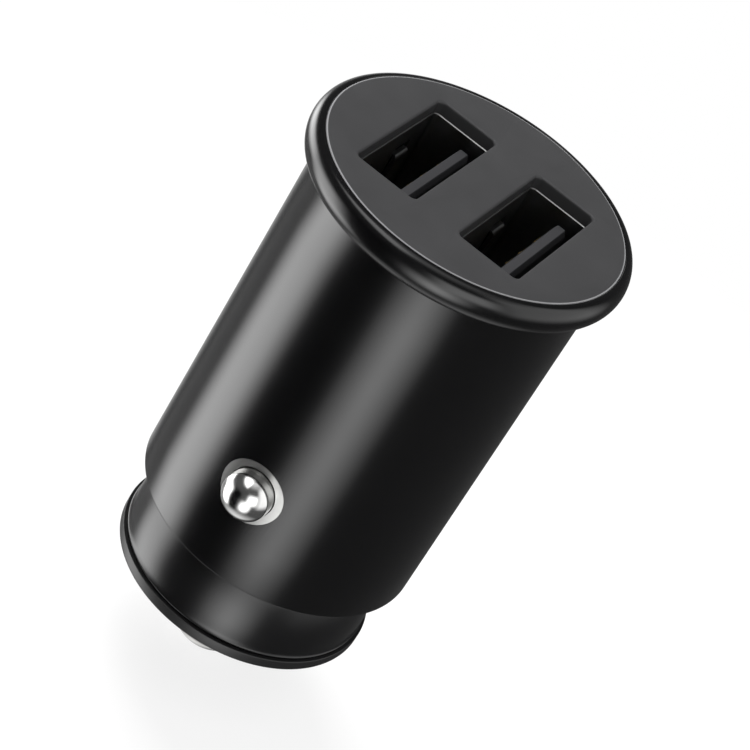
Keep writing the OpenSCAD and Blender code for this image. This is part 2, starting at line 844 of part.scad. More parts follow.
// Moulded tail with a spigot in the barrel, a floor for the board and a stepped bore for the pin
module tail_bell() {
    color(moulded_black)
        difference() {
            union() {
                rotate_extrude()
                    polygon(concat([[0, tail_top_z]], tail_outline, [[0, cap_top_z]]));
                translate([0, 0, tail_top_z])
                    cylinder(h = spigot_len, r = spigot_r);
            }
            translate([0, 0, tail_floor_z])
                cylinder(h = floor_depth + cut, r = spigot_bore_r);
            translate([0, 0, well_z])
                cylinder(h = well_depth + cut, r = well_r);
            translate([0, 0, cap_top_z - cut])
                cylinder(h = well_z - cap_top_z + 2 * cut, r = pin_hole_r);
            translate([0, 0, cap_top_z - cut])
                ring(pocket_in_r, pocket_out_r, pocket_h + cut);
        }
}

// A flat ring that stands on the origin
module ring(r_in, r_out, h) {
    rotate_extrude()
        translate([r_in, 0])
            square([r_out - r_in, h]);
}

// Moulded end cap: the thin band at the tail's foot, with the nose that guides the pin
module end_cap() {
    color(moulded_black)
        difference() {
            union() {
                rotate_extrude()
                    polygon([
                        [0, cap_top_z],
                        [cap_r - seam_chamfer, cap_top_z],
                        [cap_r, cap_top_z - seam_chamfer],
                        [cap_r, cap_under_z + cap_edge],
                        [cap_r - cap_edge, cap_under_z],
                        [nose_r, cap_under_z],
                        [nose_r, nose_end_z + nose_chamfer],
                        [nose_r - nose_chamfer, nose_end_z],
                        [0, nose_end_z]
                    ]);
                translate([0, 0, cap_top_z - cap_t / 2])
                    ring(pocket_out_r - press_gap - cap_ring_t, pocket_out_r - press_gap, cap_t / 2 + cap_ring_h);
            }
            translate([0, 0, nose_end_z - cut])
                cylinder(h = cap_t + nose_h + 2 * cut, r = pin_r + slide_gap);
        }
}

// Turned centre pin: hollow from above, with a flange inside the tail and a round end
module centre_pin() {
    color(nickel)
        difference() {
            union() {
                translate([0, 0, pin_tip_z + pin_end_h])
                    cylinder(h = pin_flange_z - pin_tip_z - pin_end_h, r = pin_r);
                translate([0, 0, cap_top_z])
                    cylinder(h = pin_flange_t, d = pin_flange_d);
                intersection() {
                    translate([0, 0, pin_tip_z + pin_end_r])
                        sphere(r = pin_end_r);
                    translate([0, 0, pin_tip_z])
                        cylinder(h = pin_end_h, r = pin_r);
                }
            }
            translate([0, 0, pin_bore_z])
                cylinder(h = pin_flange_z - pin_bore_z + cut, r = pin_bore_r);
        }
}

// Brass plate above the pin's spring, with the blade that is soldered to the power board
module pin_seat() {
    color(brass) {
        translate([0, 0, well_z])
            cylinder(h = pin_seat_t, r = well_r - press_gap);
        translate([-blade_w / 2, board_face, well_z])
            cube([blade_w, pin_seat_t, well_depth + blade_h]);
    }
}

// Ring core of the choke, lying against the front of the power board
choke_z = connector_under_z - choke_gap - choke_d / 2 - choke_wire;
choke_back = board_face + choke_wire;
module choke_core() {
    color(ferrite)
        translate([0, -choke_back, choke_z])
            rotate([90, 0, 0])
                ring(choke_hole_d / 2, choke_d / 2, choke_h);
}

// Turns of copper wire around the ring core
module choke_winding() {
    ring_w = (choke_d - choke_hole_d) / 2;
    color(copper)
        translate([0, -choke_back, choke_z])
            rotate([90, 0, 0])
                for (i = [0:choke_turns - 1])
                    rotate([0, 0, 360 * (i + 0.5) / choke_turns])
                        translate([choke_hole_d / 2, 0, 0])
                            difference() {
                                translate([-choke_wire, -choke_wire / 2, -choke_wire])
                                    cube([ring_w + 2 * choke_wire, choke_wire, choke_h + 2 * choke_wire]);
                                translate([-press_gap, -choke_wire, -press_gap])
                                    cube([ring_w + 2 * press_gap, 2 * choke_wire, choke_h + 2 * press_gap]);
                            }
}

// A capacitor can lying along the rear of the power board, with a rolled groove near its foot
// and two leads that turn to the board
can_foot_z = tail_top_z + spigot_len + can_lift;
module can(x, d, len) {
    translate([x, board_face + d / 2, can_foot_z]) {
        difference() {
            cylinder(h = len, d = d, $fn = small_fn);
            translate([0, 0, can_groove_z])
                rotate_extrude()
                    translate([d / 2, 0])
                        circle(r = can_groove, $fn = small_fn);
        }
        for (sx = [-1, 1])
            translate([sx * lead_pitch / 2, 0, -lead_drop]) {
                cylinder(h = lead_drop, d = lead_d, $fn = small_fn);
                sphere(d = lead_d, $fn = small_fn);
                rotate([90, 0, 0])
                    cylinder(h = d / 2, d = lead_d, $fn = small_fn);
            }
    }
}

module input_capacitor() {
    color(can_sleeve)
        can(-can_x, input_can_d, input_can_len);
}

module output_capacitor() {
    color(can_sleeve)
        can(can_x, output_can_d, output_can_len);
}

// A chip body on the rear of the power board with rows of legs below and above it
module chip(x, l, w, t, legs, pitch) {
    z = connector_under_z - chip_gap - chip_leg_l - w / 2;
    translate([x - l / 2, board_face, z - w / 2])
        cube([l, t, w]);
    for (i = [0:legs - 1])
        translate([x + (i - (legs - 1) / 2) * pitch - chip_leg_w / 2, board_face, z - w / 2 - chip_leg_l])
            cube([chip_leg_w, chip_leg_t, w + 2 * chip_leg_l]);
}

converter_legs = 4;
charging_legs = 3;
module converter_chip() {
    color(chip_black)
        chip(converter_x, converter_l, converter_w, chip_t, converter_legs, converter_l / converter_legs);
}

module charging_chip() {
    color(chip_black)
        chip(charging_x, charging_l, charging_w, chip_t / 2, charging_legs, charging_l / charging_legs);
}

// A block part on the front of the power board, of length l, height w and thickness t, whose two
// ends are wrapped in slightly thicker metal
module block_part(x, z, l, w, t) {
    translate([x - l / 2, -board_face - t, z - w / 2])
        cube([l, t, w]);
    for (sx = [-1, 1])
        translate([x + sx * (l - terminal_l) / 2, -board_face, z])
            translate([-terminal_l / 2, -t - terminal_out, -w / 2 - terminal_out])
                cube([terminal_l, t + terminal_out, w + 2 * terminal_out]);
}

low_z = -contact_drop - low_drop;
module rectifier_diode() {
    tab_w = diode_w / 2;
    color(chip_black) {
        translate([diode_x - diode_l / 2, -board_face - diode_t, low_z - diode_w / 2])
            cube([diode_l, diode_t, diode_w]);
        translate([diode_x - diode_l / 2 - chip_leg_w, -board_face - chip_leg_t, low_z - tab_w / 2])
            cube([diode_l + 2 * chip_leg_w, chip_leg_t, tab_w]);
    }
}

module input_fuse() {
    color(ceramic_tan)
        block_part(-fuse_x, low_z, fuse_l, fuse_w, small_t);
}

small_count = 3;
small_row_z = -contact_drop + small_lift;
module ceramic_capacitors() {
    color(ceramic_tan)
        for (i = [0:small_count - 1])
            block_part(-small_x, small_row_z + i * small_pitch, small_l, small_w, small_t);
}

module chip_resistors() {
    color(chip_black)
        for (i = [0:small_count - 1])
            block_part(small_x, small_row_z + i * small_pitch, small_l, small_w, small_t / 2);
}

barrel_shell();
face_plate();
tail_bell();
end_cap();
centre_pin();
pin_spring();
pin_seat();
front_contact();
rear_contact();
front_bush();
rear_bush();
front_spring();
rear_spring();
front_spring_seat();
rear_spring_seat();
left_port_shell();
right_port_shell();
left_port_tongue();
right_port_tongue();
left_port_strips();
right_port_strips();
connector_board();
power_board();
choke_core();
choke_winding();
input_capacitor();
output_capacitor();
converter_chip();
charging_chip();
rectifier_diode();
input_fuse();
ceramic_capacitors();
chip_resistors();
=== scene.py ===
"""Studio scene of a two-port charger plug for a 12 V socket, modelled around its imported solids."""

import logging
import math
from dataclasses import dataclass, field
from enum import Enum
from typing import Any, Callable, Sequence

import bmesh
import bpy
from mathutils import Matrix, Vector


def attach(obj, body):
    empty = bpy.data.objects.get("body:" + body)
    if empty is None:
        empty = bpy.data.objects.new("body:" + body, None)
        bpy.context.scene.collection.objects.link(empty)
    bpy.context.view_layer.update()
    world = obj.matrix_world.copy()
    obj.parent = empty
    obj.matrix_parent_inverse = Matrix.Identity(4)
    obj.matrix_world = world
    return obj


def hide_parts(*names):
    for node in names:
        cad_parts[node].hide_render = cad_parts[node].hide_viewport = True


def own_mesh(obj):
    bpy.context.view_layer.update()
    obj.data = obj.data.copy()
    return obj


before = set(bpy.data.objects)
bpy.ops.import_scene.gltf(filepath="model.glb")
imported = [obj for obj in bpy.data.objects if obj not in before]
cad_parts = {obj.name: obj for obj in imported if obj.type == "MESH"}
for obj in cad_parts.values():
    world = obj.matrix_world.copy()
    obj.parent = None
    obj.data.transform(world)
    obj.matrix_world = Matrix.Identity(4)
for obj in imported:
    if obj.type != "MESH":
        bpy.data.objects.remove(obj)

LOG = logging.getLogger("plug")
MM = 0.001
FULL_TURN = 2 * math.pi
WELD = 1e-6
NEAR = 0.001
PARALLEL = 0.99
UPWARDS = 0.9
REACH = 1.0
CORNER_FACETS = 8
EDGE_FACETS = 3
WIRE_FACETS = 12
COIL_FACETS = 40
COIL_ANGLE = 50.0
FOLD_ANGLE = 40.0
WORN_EDGE = 6.0
MIDDLE = 0.5
BARREL_R = 10.652
CONTACT_Z = -20.7
BUSH_R = 2.45
PORT_PITCH = 8.5
WHITE = (1, 1, 1)

Spot = tuple[float, float]
Point = Colour = tuple[float, float, float]


class Axis(Enum):
    """The three axes of the row frame, as unit vectors."""

    X = (1, 0, 0)
    Y = (0, 1, 0)
    Z = (0, 0, 1)


class Body(Enum):
    """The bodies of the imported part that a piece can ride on."""

    PLUG = "plug"
    PIN = "centre_pin_body"
    FRONT = "front_contact_body"
    REAR = "rear_contact_body"


class Tool(Enum):
    """What a tool does to the piece that it is combined with."""

    CUT = "DIFFERENCE"
    ADD = "UNION"
    TRIM = "INTERSECT"


def arc(centre: Spot, radii: Spot, start: float, end: float, steps: int) -> list[Spot]:
    """Points of an elliptic arc in an outline.

    Args:
        centre: Centre of the ellipse, radius and height in millimetres.
        radii: Half widths of the ellipse along the radius and the height.
        start: First angle in degrees, from the outward direction.
        end: Last angle in degrees.
        steps: Number of equal steps between them.

    Returns:
        The points from start to end.
    """
    turns = [math.radians(start + (end - start) * i / steps) for i in range(steps + 1)]
    return [(centre[0] + radii[0] * math.cos(a), centre[1] + radii[1] * math.sin(a)) for a in turns]


class Piece:
    """A mesh on the bench, worked with mesh operators and sizes in millimetres."""

    def __init__(self, name: str) -> None:
        """Takes over the object that was just added or copied, under a name of its own."""
        self.object = bpy.context.object
        self.object.name = name
        self.object.data.name = name

    @staticmethod
    def clear() -> None:
        """Leaves edit mode and deselects everything."""
        if bpy.context.object and bpy.context.object.mode != "OBJECT":
            bpy.ops.object.mode_set(mode="OBJECT")
        bpy.ops.object.select_all(action="DESELECT")

    def take(self) -> None:
        """Makes this the only selected object, and the active one."""
        Piece.clear()
        self.object.select_set(True)
        bpy.context.view_layer.objects.active = self.object

    def settle(self) -> "Piece":
        """Brings the object's place, turn and scale into its mesh."""
        bpy.ops.object.transform_apply(location=True, rotation=True, scale=True)
        return self

    def remove(self) -> None:
        """Takes the object off the bench."""
        bpy.data.objects.remove(self.object)

    def edit(self, select: str = "SELECT", mode: str = "VERT") -> None:
        """Opens the mesh in edit mode.

        Args:
            select: SELECT for all of it or DESELECT for nothing.
            mode: VERT, EDGE or FACE.
        """
        self.take()
        bpy.ops.object.mode_set(mode="EDIT")
        bpy.ops.mesh.select_mode(type=mode)
        bpy.ops.mesh.select_all(action=select)

    def pick(self, mode: str, test: Callable[[Any], bool]) -> None:
        """Opens the mesh with those edges or faces selected that pass a test.

        Args:
            mode: EDGE or FACE.
            test: Function of one edge or face.
        """
        self.edit("DESELECT", mode)
        made = bmesh.from_edit_mesh(self.object.data)
        for part in made.edges if mode == "EDGE" else made.faces:
            if test(part):
                part.select_set(True)
        bmesh.update_edit_mesh(self.object.data)

    def bevel(self, test: Callable[[Vector, Vector], bool], radius: float, segments: int) -> None:
        """Rounds some of the edges.

        Args:
            test: Function of an edge's two ends, in millimetres, true for the edges to round.
            radius: Radius of the rounding.
            segments: Number of facets across it.
        """
        self.pick("EDGE", lambda edge: test(*(corner.co / MM for corner in edge.verts)))
        bpy.ops.mesh.bevel(offset=radius * MM, segments=segments, affect="EDGES")
        bpy.ops.object.mode_set(mode="OBJECT")

    def draw(self, steps: Sequence[tuple[float, ...]]) -> "Piece":
        """Draws the upper face out, step by step.

        Args:
            steps: For each step the move along X and Z, and where the face changes size, its
                scale along X and Y.

        Returns:
            This piece.
        """
        self.pick("FACE", lambda face: face.normal.z > UPWARDS)
        for x, z, *scale in steps:
            bpy.ops.mesh.extrude_region_move(TRANSFORM_OT_translate={"value": (x * MM, 0, z * MM)})
            if scale:
                bpy.ops.transform.resize(value=(*scale, 1))
        bpy.ops.object.mode_set(mode="OBJECT")
        return self

    def close(self, smooth_angle: float = 32.0) -> "Piece":
        """Welds the mesh, points its faces outwards and shades it smooth up to an angle.

        Args:
            smooth_angle: Largest angle in degrees that is shaded smooth.

        Returns:
            This piece.
        """
        self.edit()
        bpy.ops.mesh.remove_doubles(threshold=WELD)
        bpy.ops.mesh.normals_make_consistent(inside=False)
        bpy.ops.object.mode_set(mode="OBJECT")
        bpy.ops.object.shade_smooth_by_angle(angle=math.radians(smooth_angle))
        return self

    def turn(self, angle: float, axis: Axis) -> "Piece":
        """Turns the mesh about an axis of the frame.

        Args:
            angle: Angle in degrees.
            axis: The axis.

        Returns:
            This piece.
        """
        self.take()
        self.object.matrix_world = Matrix.Rotation(math.radians(angle), 4, Vector(axis.value))
        return self.settle()

    def shift(self, x: float = 0, y: float = 0, z: float = 0) -> "Piece":
        """Moves the mesh.

        Args:
            x: Distance along X.
            y: Distance along Y.
            z: Distance along Z.

        Returns:
            This piece.
        """
        self.edit()
        bpy.ops.transform.translate(value=(x * MM, y * MM, z * MM))
        bpy.ops.object.mode_set(mode="OBJECT")
        return self

    def copy(self, name: str) -> "Piece":
        """Copies the piece with a mesh of its own.

        Args:
            name: Name of the copy.

        Returns:
            The copy.
        """
        self.take()
        bpy.ops.object.duplicate(linked=False)
        return Piece(name)

    def combine(self, other: "Piece", tool: Tool = Tool.CUT) -> "Piece":
        """Works the piece with another one, which is used up.

        Args:
            other: The other piece.
            tool: What it does to this one.

        Returns:
            This piece.
        """
        self.take()
        made = self.object.modifiers.new("tool", "BOOLEAN")
        made.operation = tool.value
        made.solver = "EXACT"
        made.object = other.object
        bpy.ops.object.modifier_apply(modifier=made.name)
        other.remove()
        return self

    def join(self, others: Sequence["Piece"]) -> "Piece":
        """Takes other pieces into this one's mesh.

        Args:
            others: The other pieces.

        Returns:
            This piece.
        """
        self.take()
        for piece in others:
            piece.object.select_set(True)
        bpy.ops.object.join()
        return self


def turned(name: str, outline: Sequence[Spot], steps: int) -> Piece:
    """Turns an outline about the Z axis, as on a lathe.

    Args:
        name: Name of the new piece.
        outline: Radius and height of each point; a closed ring ends where it starts.
        steps: Number of facets around.

    Returns:
        The turned piece.
    """
    Piece.clear()
    radius, height = outline[0]
    bpy.ops.mesh.primitive_plane_add(size=MM, location=(radius * MM, 0, height * MM))
    piece = Piece(name).settle()
    piece.edit()
    bpy.ops.mesh.merge(type="CENTER")
    for here, there in zip(outline, outline[1:]):
        step = ((there[0] - here[0]) * MM, 0, (there[1] - here[1]) * MM)
        bpy.ops.mesh.extrude_vertices_move(TRANSFORM_OT_translate={"value": step})
    bpy.ops.mesh.select_all(action="SELECT")
    bpy.ops.mesh.spin(steps=steps, angle=FULL_TURN, center=(0, 0, 0), axis=Axis.Z.value)
    return piece.close()


def block(name: str, low: Point, high: Point, corner: float = 0.0, edge: float = 0.0,
          along: Axis = Axis.Z) -> Piece:
    """A block with rounded corners along one axis and eased edges all round.

    Args:
        name: Name of the new piece.
        low: Lowest corner.
        high: Highest corner.
        corner: Radius of the four long corners along the axis.
        edge: Radius of all other edges.
        along: The axis that the round corners follow.

    Returns:
        The block.
    """
    Piece.clear()
    size = [(b - a) * MM for a, b in zip(low, high)]
    middle = [(a + b) / 2 * MM for a, b in zip(low, high)]
    bpy.ops.mesh.primitive_cube_add(size=1, location=middle, scale=size)
    piece = Piece(name).settle()
    if corner:
        way = Vector(along.value)
        piece.bevel(lambda a, b: abs((a - b).normalized().dot(way)) > PARALLEL, corner,
                    CORNER_FACETS)
    if edge:
        flat = along.value.index(1)
        ends = (low[flat], high[flat])
        piece.bevel(lambda a, b: any(max(abs(a[flat] - end), abs(b[flat] - end)) < NEAR for end in ends),
                    edge, EDGE_FACETS)
    return piece.close()


def coil(name: str, radius: float, wire: float, low: float, high: float, turns: int) -> Piece:
    """A coil spring along the Z axis.

    Args:
        name: Name of the new piece.
        radius: Radius of the wire's centreline.
        wire: Radius of the wire.
        low: Lower end of the spring.
        high: Upper end of the spring.
        turns: Number of turns.

    Returns:
        The spring.
    """
    Piece.clear()
    bpy.ops.mesh.primitive_circle_add(vertices=WIRE_FACETS, radius=wire * MM, fill_type="NOTHING",
                                      location=(radius * MM, 0, (low + wire) * MM),
                                      rotation=(math.pi / 2, 0, 0))
    piece = Piece(name).settle()
    screw = piece.object.modifiers.new("winding", "SCREW")
    screw.axis = "Z"
    screw.angle = FULL_TURN
    screw.iterations = turns
    screw.steps = screw.render_steps = COIL_FACETS
    screw.screw_offset = (high - low - 2 * wire) / turns * MM
    bpy.ops.object.modifier_apply(modifier=screw.name)
    piece.edit("DESELECT", "EDGE")
    bpy.ops.mesh.select_non_manifold(extend=False, use_wire=False, use_multi_face=False,
                                     use_non_contiguous=False, use_verts=False)
    bpy.ops.mesh.edge_face_add()
    return piece.close(COIL_ANGLE)


class Socket:
    """One output of a shader node, with Python's operators for the Math nodes."""

    def __init__(self, source: bpy.types.NodeSocket) -> None:
        """Keeps the output that the value comes from."""
        self.source = source

    def math(self, operation: str, *others: Any) -> "Socket":
        """Adds a Math node that takes this value first.

        Args:
            operation: The node's operation.
            others: Its other inputs, as numbers or sockets.

        Returns:
            The node's result.
        """
        node = self.source.id_data.nodes.new("ShaderNodeMath")
        node.operation = operation
        for place, value in zip(node.inputs, (self, *others)):
            feed(place, value)
        return Socket(node.outputs[0])

    def __add__(self, other: Any) -> "Socket":
        """Sum."""
        return self.math("ADD", other)

    def __radd__(self, other: Any) -> "Socket":
        """Sum with a number in front."""
        return self.math("ADD", other)

    def __sub__(self, other: Any) -> "Socket":
        """Difference."""
        return self.math("SUBTRACT", other)

    def __rsub__(self, other: Any) -> "Socket":
        """Difference from a number."""
        return self.math("MULTIPLY_ADD", -1.0, other)

    def __mul__(self, other: Any) -> "Socket":
        """Product."""
        return self.math("MULTIPLY", other)

    def __truediv__(self, other: Any) -> "Socket":
        """Quotient."""
        return self.math("DIVIDE", other)

    def __pow__(self, other: Any) -> "Socket":
        """Power."""
        return self.math("POWER", other)

    def clamp(self) -> "Socket":
        """Keeps the value between 0 and 1."""
        return self.math("MAXIMUM", 0.0).math("MINIMUM", 1.0)


def feed(place: bpy.types.NodeSocket, value: Any) -> None:
    """Gives a node's input its value.

    Args:
        place: The input.
        value: A socket to link, or a number, vector or colour to set.
    """
    if isinstance(value, Socket):
        place.id_data.links.new(value.source, place)
    elif place.type == "RGBA":
        place.default_value = (*value, 1)
    else:
        place.default_value = value


def tint(colour: Colour, factor: float, lift: float = 0.0) -> Colour:
    """A colour scaled by a factor and lifted, up to white."""
    return tuple(min(1.0, part * factor + lift) for part in colour)


class Nodes:
    """A node tree, written as Python expressions."""

    def __init__(self, tree: bpy.types.NodeTree) -> None:
        """Keeps the tree that the nodes go into."""
        self.tree = tree

    def node(self, kind: str, settings: dict[str, Any] | None = None,
             inputs: dict[Any, Any] | None = None, output: Any = 0) -> Socket:
        """Adds any node.

        Args:
            kind: The node's type, without its ShaderNode prefix.
            settings: Properties by name, set first.
            inputs: Values or sockets by the input's name or number.
            output: Name or number of the output to return.

        Returns:
            That output.
        """
        made = self.tree.nodes.new("ShaderNode" + kind)
        for key, value in (settings or {}).items():
            setattr(made, key, value)
        for key, value in (inputs or {}).items():
            feed(made.inputs[key], value)
        return Socket(made.outputs[output])

    def parts(self, vector: Socket) -> tuple[Socket, ...]:
        """Splits a vector into X, Y and Z."""
        split = self.node("SeparateXYZ", inputs={0: vector})
        return tuple(Socket(output) for output in split.source.node.outputs)


class Shader(Nodes):
    """One material's node tree, around a Principled shader."""

    def __init__(self, name: str) -> None:
        """Starts the material."""
        self.material = bpy.data.materials.new(name)
        self.material.use_nodes = True
        super().__init__(self.material.node_tree)
        self.shader = self.tree.nodes["Principled BSDF"]
        self.output = self.tree.nodes["Material Output"]

    def place(self) -> Socket:
        """Object coordinates in millimetres."""
        point = self.node("TexCoord", output="Object")
        return self.node("VectorMath", {"operation": "SCALE"}, {0: point, "Scale": 1 / MM})

    def noise(self, scale: float, detail: float, stretch: Point = (1, 1, 1)) -> Socket:
        """Noise from 0 to 1 over the piece.

        Args:
            scale: Size of the pattern, in waves per millimetre.
            detail: Number of finer octaves.
            stretch: Scale of the pattern along each axis.

        Returns:
            The noise value.
        """
        at = self.node("Mapping", inputs={0: self.place(), "Scale": stretch})
        return self.node("TexNoise", inputs={"Vector": at, "Scale": scale, "Detail": detail}, output="Fac")

    def blend(self, share: Any, first: Any, second: Any) -> Socket:
        """Mixes two colours, with a share from 0 to 1 of the second one."""
        return self.node("Mix", {"data_type": "RGBA"}, {0: share, 6: first, 7: second}, 2)

    def bump(self, height: Socket, strength: float, distance: float) -> None:
        """Raises the surface, where a height of 1 stands for a distance in millimetres."""
        self.set(Normal=self.node("Bump", inputs={
            "Height": height, "Strength": strength, "Distance": distance * MM}))

    def set(self, **values: Any) -> None:
        """Feeds inputs of the main shader, named with underscores for spaces."""
        for key, value in values.items():
            feed(self.shader.inputs[key.replace("_", " ")], value)

    def edges(self, radius: float) -> Socket:
        """How far a spot lies on a rounded or worn edge, from 0 to 1.

        Args:
            radius: Width of the edge in millimetres.

        Returns:
            The mask.
        """
        normal = self.node("Bevel", {"samples": 6}, {"Radius": radius * MM})
        flat = self.node("NewGeometry", output="Normal")
        same = self.node("VectorMath", {"operation": "DOT_PRODUCT"}, {0: normal, 1: flat}, output="Value")
        return ((1 - same) * WORN_EDGE).clamp()


@dataclass(frozen=True)
class Finish:
    """One finish: a base for the finishes below, which build their own node trees."""

    name: str

    def build(self) -> bpy.types.Material:
        """Builds the material and returns it."""
        raise NotImplementedError


@dataclass(frozen=True)
class Lacquer(Finish):
    """Black or grey lacquer with a very fine grain and slightly uneven gloss.

    Past a given radius it has a painted highlight: a bright line painted into its colour where a small
    rounded edge would catch the light.
    """

    colour: Colour
    roughness: float
    specular: float = 0.5
    grain: float = 0.004
    grain_scale: float = 9.0
    uneven: float = 0.05
    metallic: float = 0.0
    edge_highlight_r: float = 0.0
    edge_highlight_colour: Colour = (0.2, 0.2, 0.205)
    edge_highlight_sharp: float = 25.0
    cloud_scale: float = 0.35
    lighter: float = 1.25
    relief: float = 0.5

    def build(self) -> bpy.types.Material:
        """Builds the lacquer and returns it."""
        made = Shader(self.name)
        clouds = made.noise(self.cloud_scale, 4.0)
        fine = made.noise(self.grain_scale, 2.0)
        base = made.blend((clouds * 1.4 - 0.2).clamp(), self.colour, tint(self.colour, self.lighter, 0.0002))
        # Painted highlight: past the radius the colour turns lighter grey, standing in for the light caught
        # by the plate's rounded edge.
        if self.edge_highlight_r:
            x, y, _ = made.parts(made.place())
            past = (x * x + y * y) ** 0.5 - self.edge_highlight_r
            base = made.blend((past * self.edge_highlight_sharp).clamp(), base, self.edge_highlight_colour)
        made.set(Base_Color=base,
                 Roughness=self.roughness + (clouds - MIDDLE) * self.uneven + (fine - MIDDLE) * self.uneven,
                 Specular_IOR_Level=self.specular, Metallic=self.metallic)
        made.bump(fine, self.relief, self.grain)
        return made.material


@dataclass(frozen=True)
class Plated(Finish):
    """Bright plated or bare metal with fine tool marks around one axis and dull stains."""

    colour: Colour
    roughness: float
    marks: float = 0.0015
    around: Axis = Axis.Z
    dull: float = 0.12
    stained: float = 0.78
    stain_scale: float = 0.8
    line_pitch: float = 14.0
    line_run: float = 0.6
    line_dull: float = 0.06
    relief: float = 0.35

    def build(self) -> bpy.types.Material:
        """Builds the metal and returns it."""
        made = Shader(self.name)
        stretch = tuple(self.line_pitch if part else self.line_run for part in self.around.value)
        lines = made.noise(1.0, 3.0, stretch)
        stains = made.noise(self.stain_scale, 4.0)
        low = tint(self.colour, self.stained)
        made.set(Base_Color=made.blend((stains * 1.5 - 0.35).clamp(), self.colour, low),
                 Roughness=self.roughness + (stains - 0.4).clamp() * self.dull
                 + (lines - MIDDLE) * self.line_dull,
                 Metallic=1.0)
        made.bump(lines, self.relief, self.marks)
        return made.material


@dataclass(frozen=True)
class Laminate(Finish):
    """Glass-fibre board under green mask, with copper tracks that show through."""

    mask: Colour = (0.012, 0.1, 0.04)
    track: Colour = (0.03, 0.2, 0.07)
    lanes: float = 0.9
    cell_scale: float = 0.4
    weave_scale: float = 1.6
    depth: float = 0.03

    def build(self) -> bpy.types.Material:
        """Builds the board and returns it."""
        made = Shader(self.name)
        place = made.place()
        _, _, z = made.parts(place)
        wander = made.noise(0.5, 2.0)
        wave = (z * self.lanes + wander * 2.2) * FULL_TURN
        lanes = wave.math("SINE") * 0.5 + 0.5
        cells = made.node("TexVoronoi", {"feature": "DISTANCE_TO_EDGE"},
                          {"Vector": place, "Scale": self.cell_scale}, output="Distance")
        tracks = (lanes * 6.0 - 3.2).clamp() * (cells * 18.0 - 1.0).clamp()
        weave = made.node("TexWave", {"bands_direction": "DIAGONAL"},
                          {"Vector": place, "Scale": self.weave_scale, "Distortion": 0.6}, output="Fac")
        made.set(Base_Color=made.blend(tracks, self.mask, self.track),
                 Roughness=0.38 + weave * 0.1, Specular_IOR_Level=0.5)
        made.bump(tracks * 0.8 + weave * 0.15, 0.5, self.depth)
        return made.material


@dataclass(frozen=True)
class Moulded(Finish):
    """Moulded plastic with a spark-eroded grain and paler rubbed edges."""

    colour: Colour
    roughness: float
    grain: float = 0.006
    grain_scale: float = 11.0
    edge_light: float = 1.6
    edge_width: float = 0.12
    specular: float = 0.5
    cloud_scale: float = 0.4
    lighter: float = 1.25
    uneven: float = 0.06
    polish: float = -0.08
    relief: float = 0.4

    def build(self) -> bpy.types.Material:
        """Builds the plastic and returns it."""
        made = Shader(self.name)
        clouds = made.noise(self.cloud_scale, 3.0)
        pits = made.node("TexVoronoi", {"feature": "SMOOTH_F1"},
                         {"Vector": made.place(), "Scale": self.grain_scale}, output="Distance")
        rubbed = made.edges(self.edge_width) * (clouds * 1.2).clamp()
        base = made.blend((clouds - 0.4).clamp(), self.colour, tint(self.colour, self.lighter))
        made.set(Base_Color=made.blend(rubbed, base, tint(self.colour, self.edge_light, 0.01)),
                 Roughness=self.roughness + (clouds - MIDDLE) * self.uneven + rubbed * self.polish,
                 Specular_IOR_Level=self.specular)
        made.bump(pits, self.relief, self.grain)
        return made.material


@dataclass(frozen=True)
class Sleeve(Finish):
    """Shrunk sleeve of a capacitor, with a pale stripe down its side."""

    colour: Colour = (0.015, 0.02, 0.07)
    stripe: Colour = (0.4, 0.42, 0.46)
    stripe_y: float = 5.2

    def build(self) -> bpy.types.Material:
        """Builds the sleeve and returns it."""
        made = Shader(self.name)
        _, y, _ = made.parts(made.place())
        side = ((y - self.stripe_y) * 4.0).clamp()
        wrinkles = made.noise(1.3, 3.0, (1, 1, 0.2))
        made.set(Base_Color=made.blend(side * 0.8, self.colour, self.stripe),
                 Roughness=0.3 + wrinkles * 0.15)
        made.bump(wrinkles, 0.4, 0.03)
        return made.material


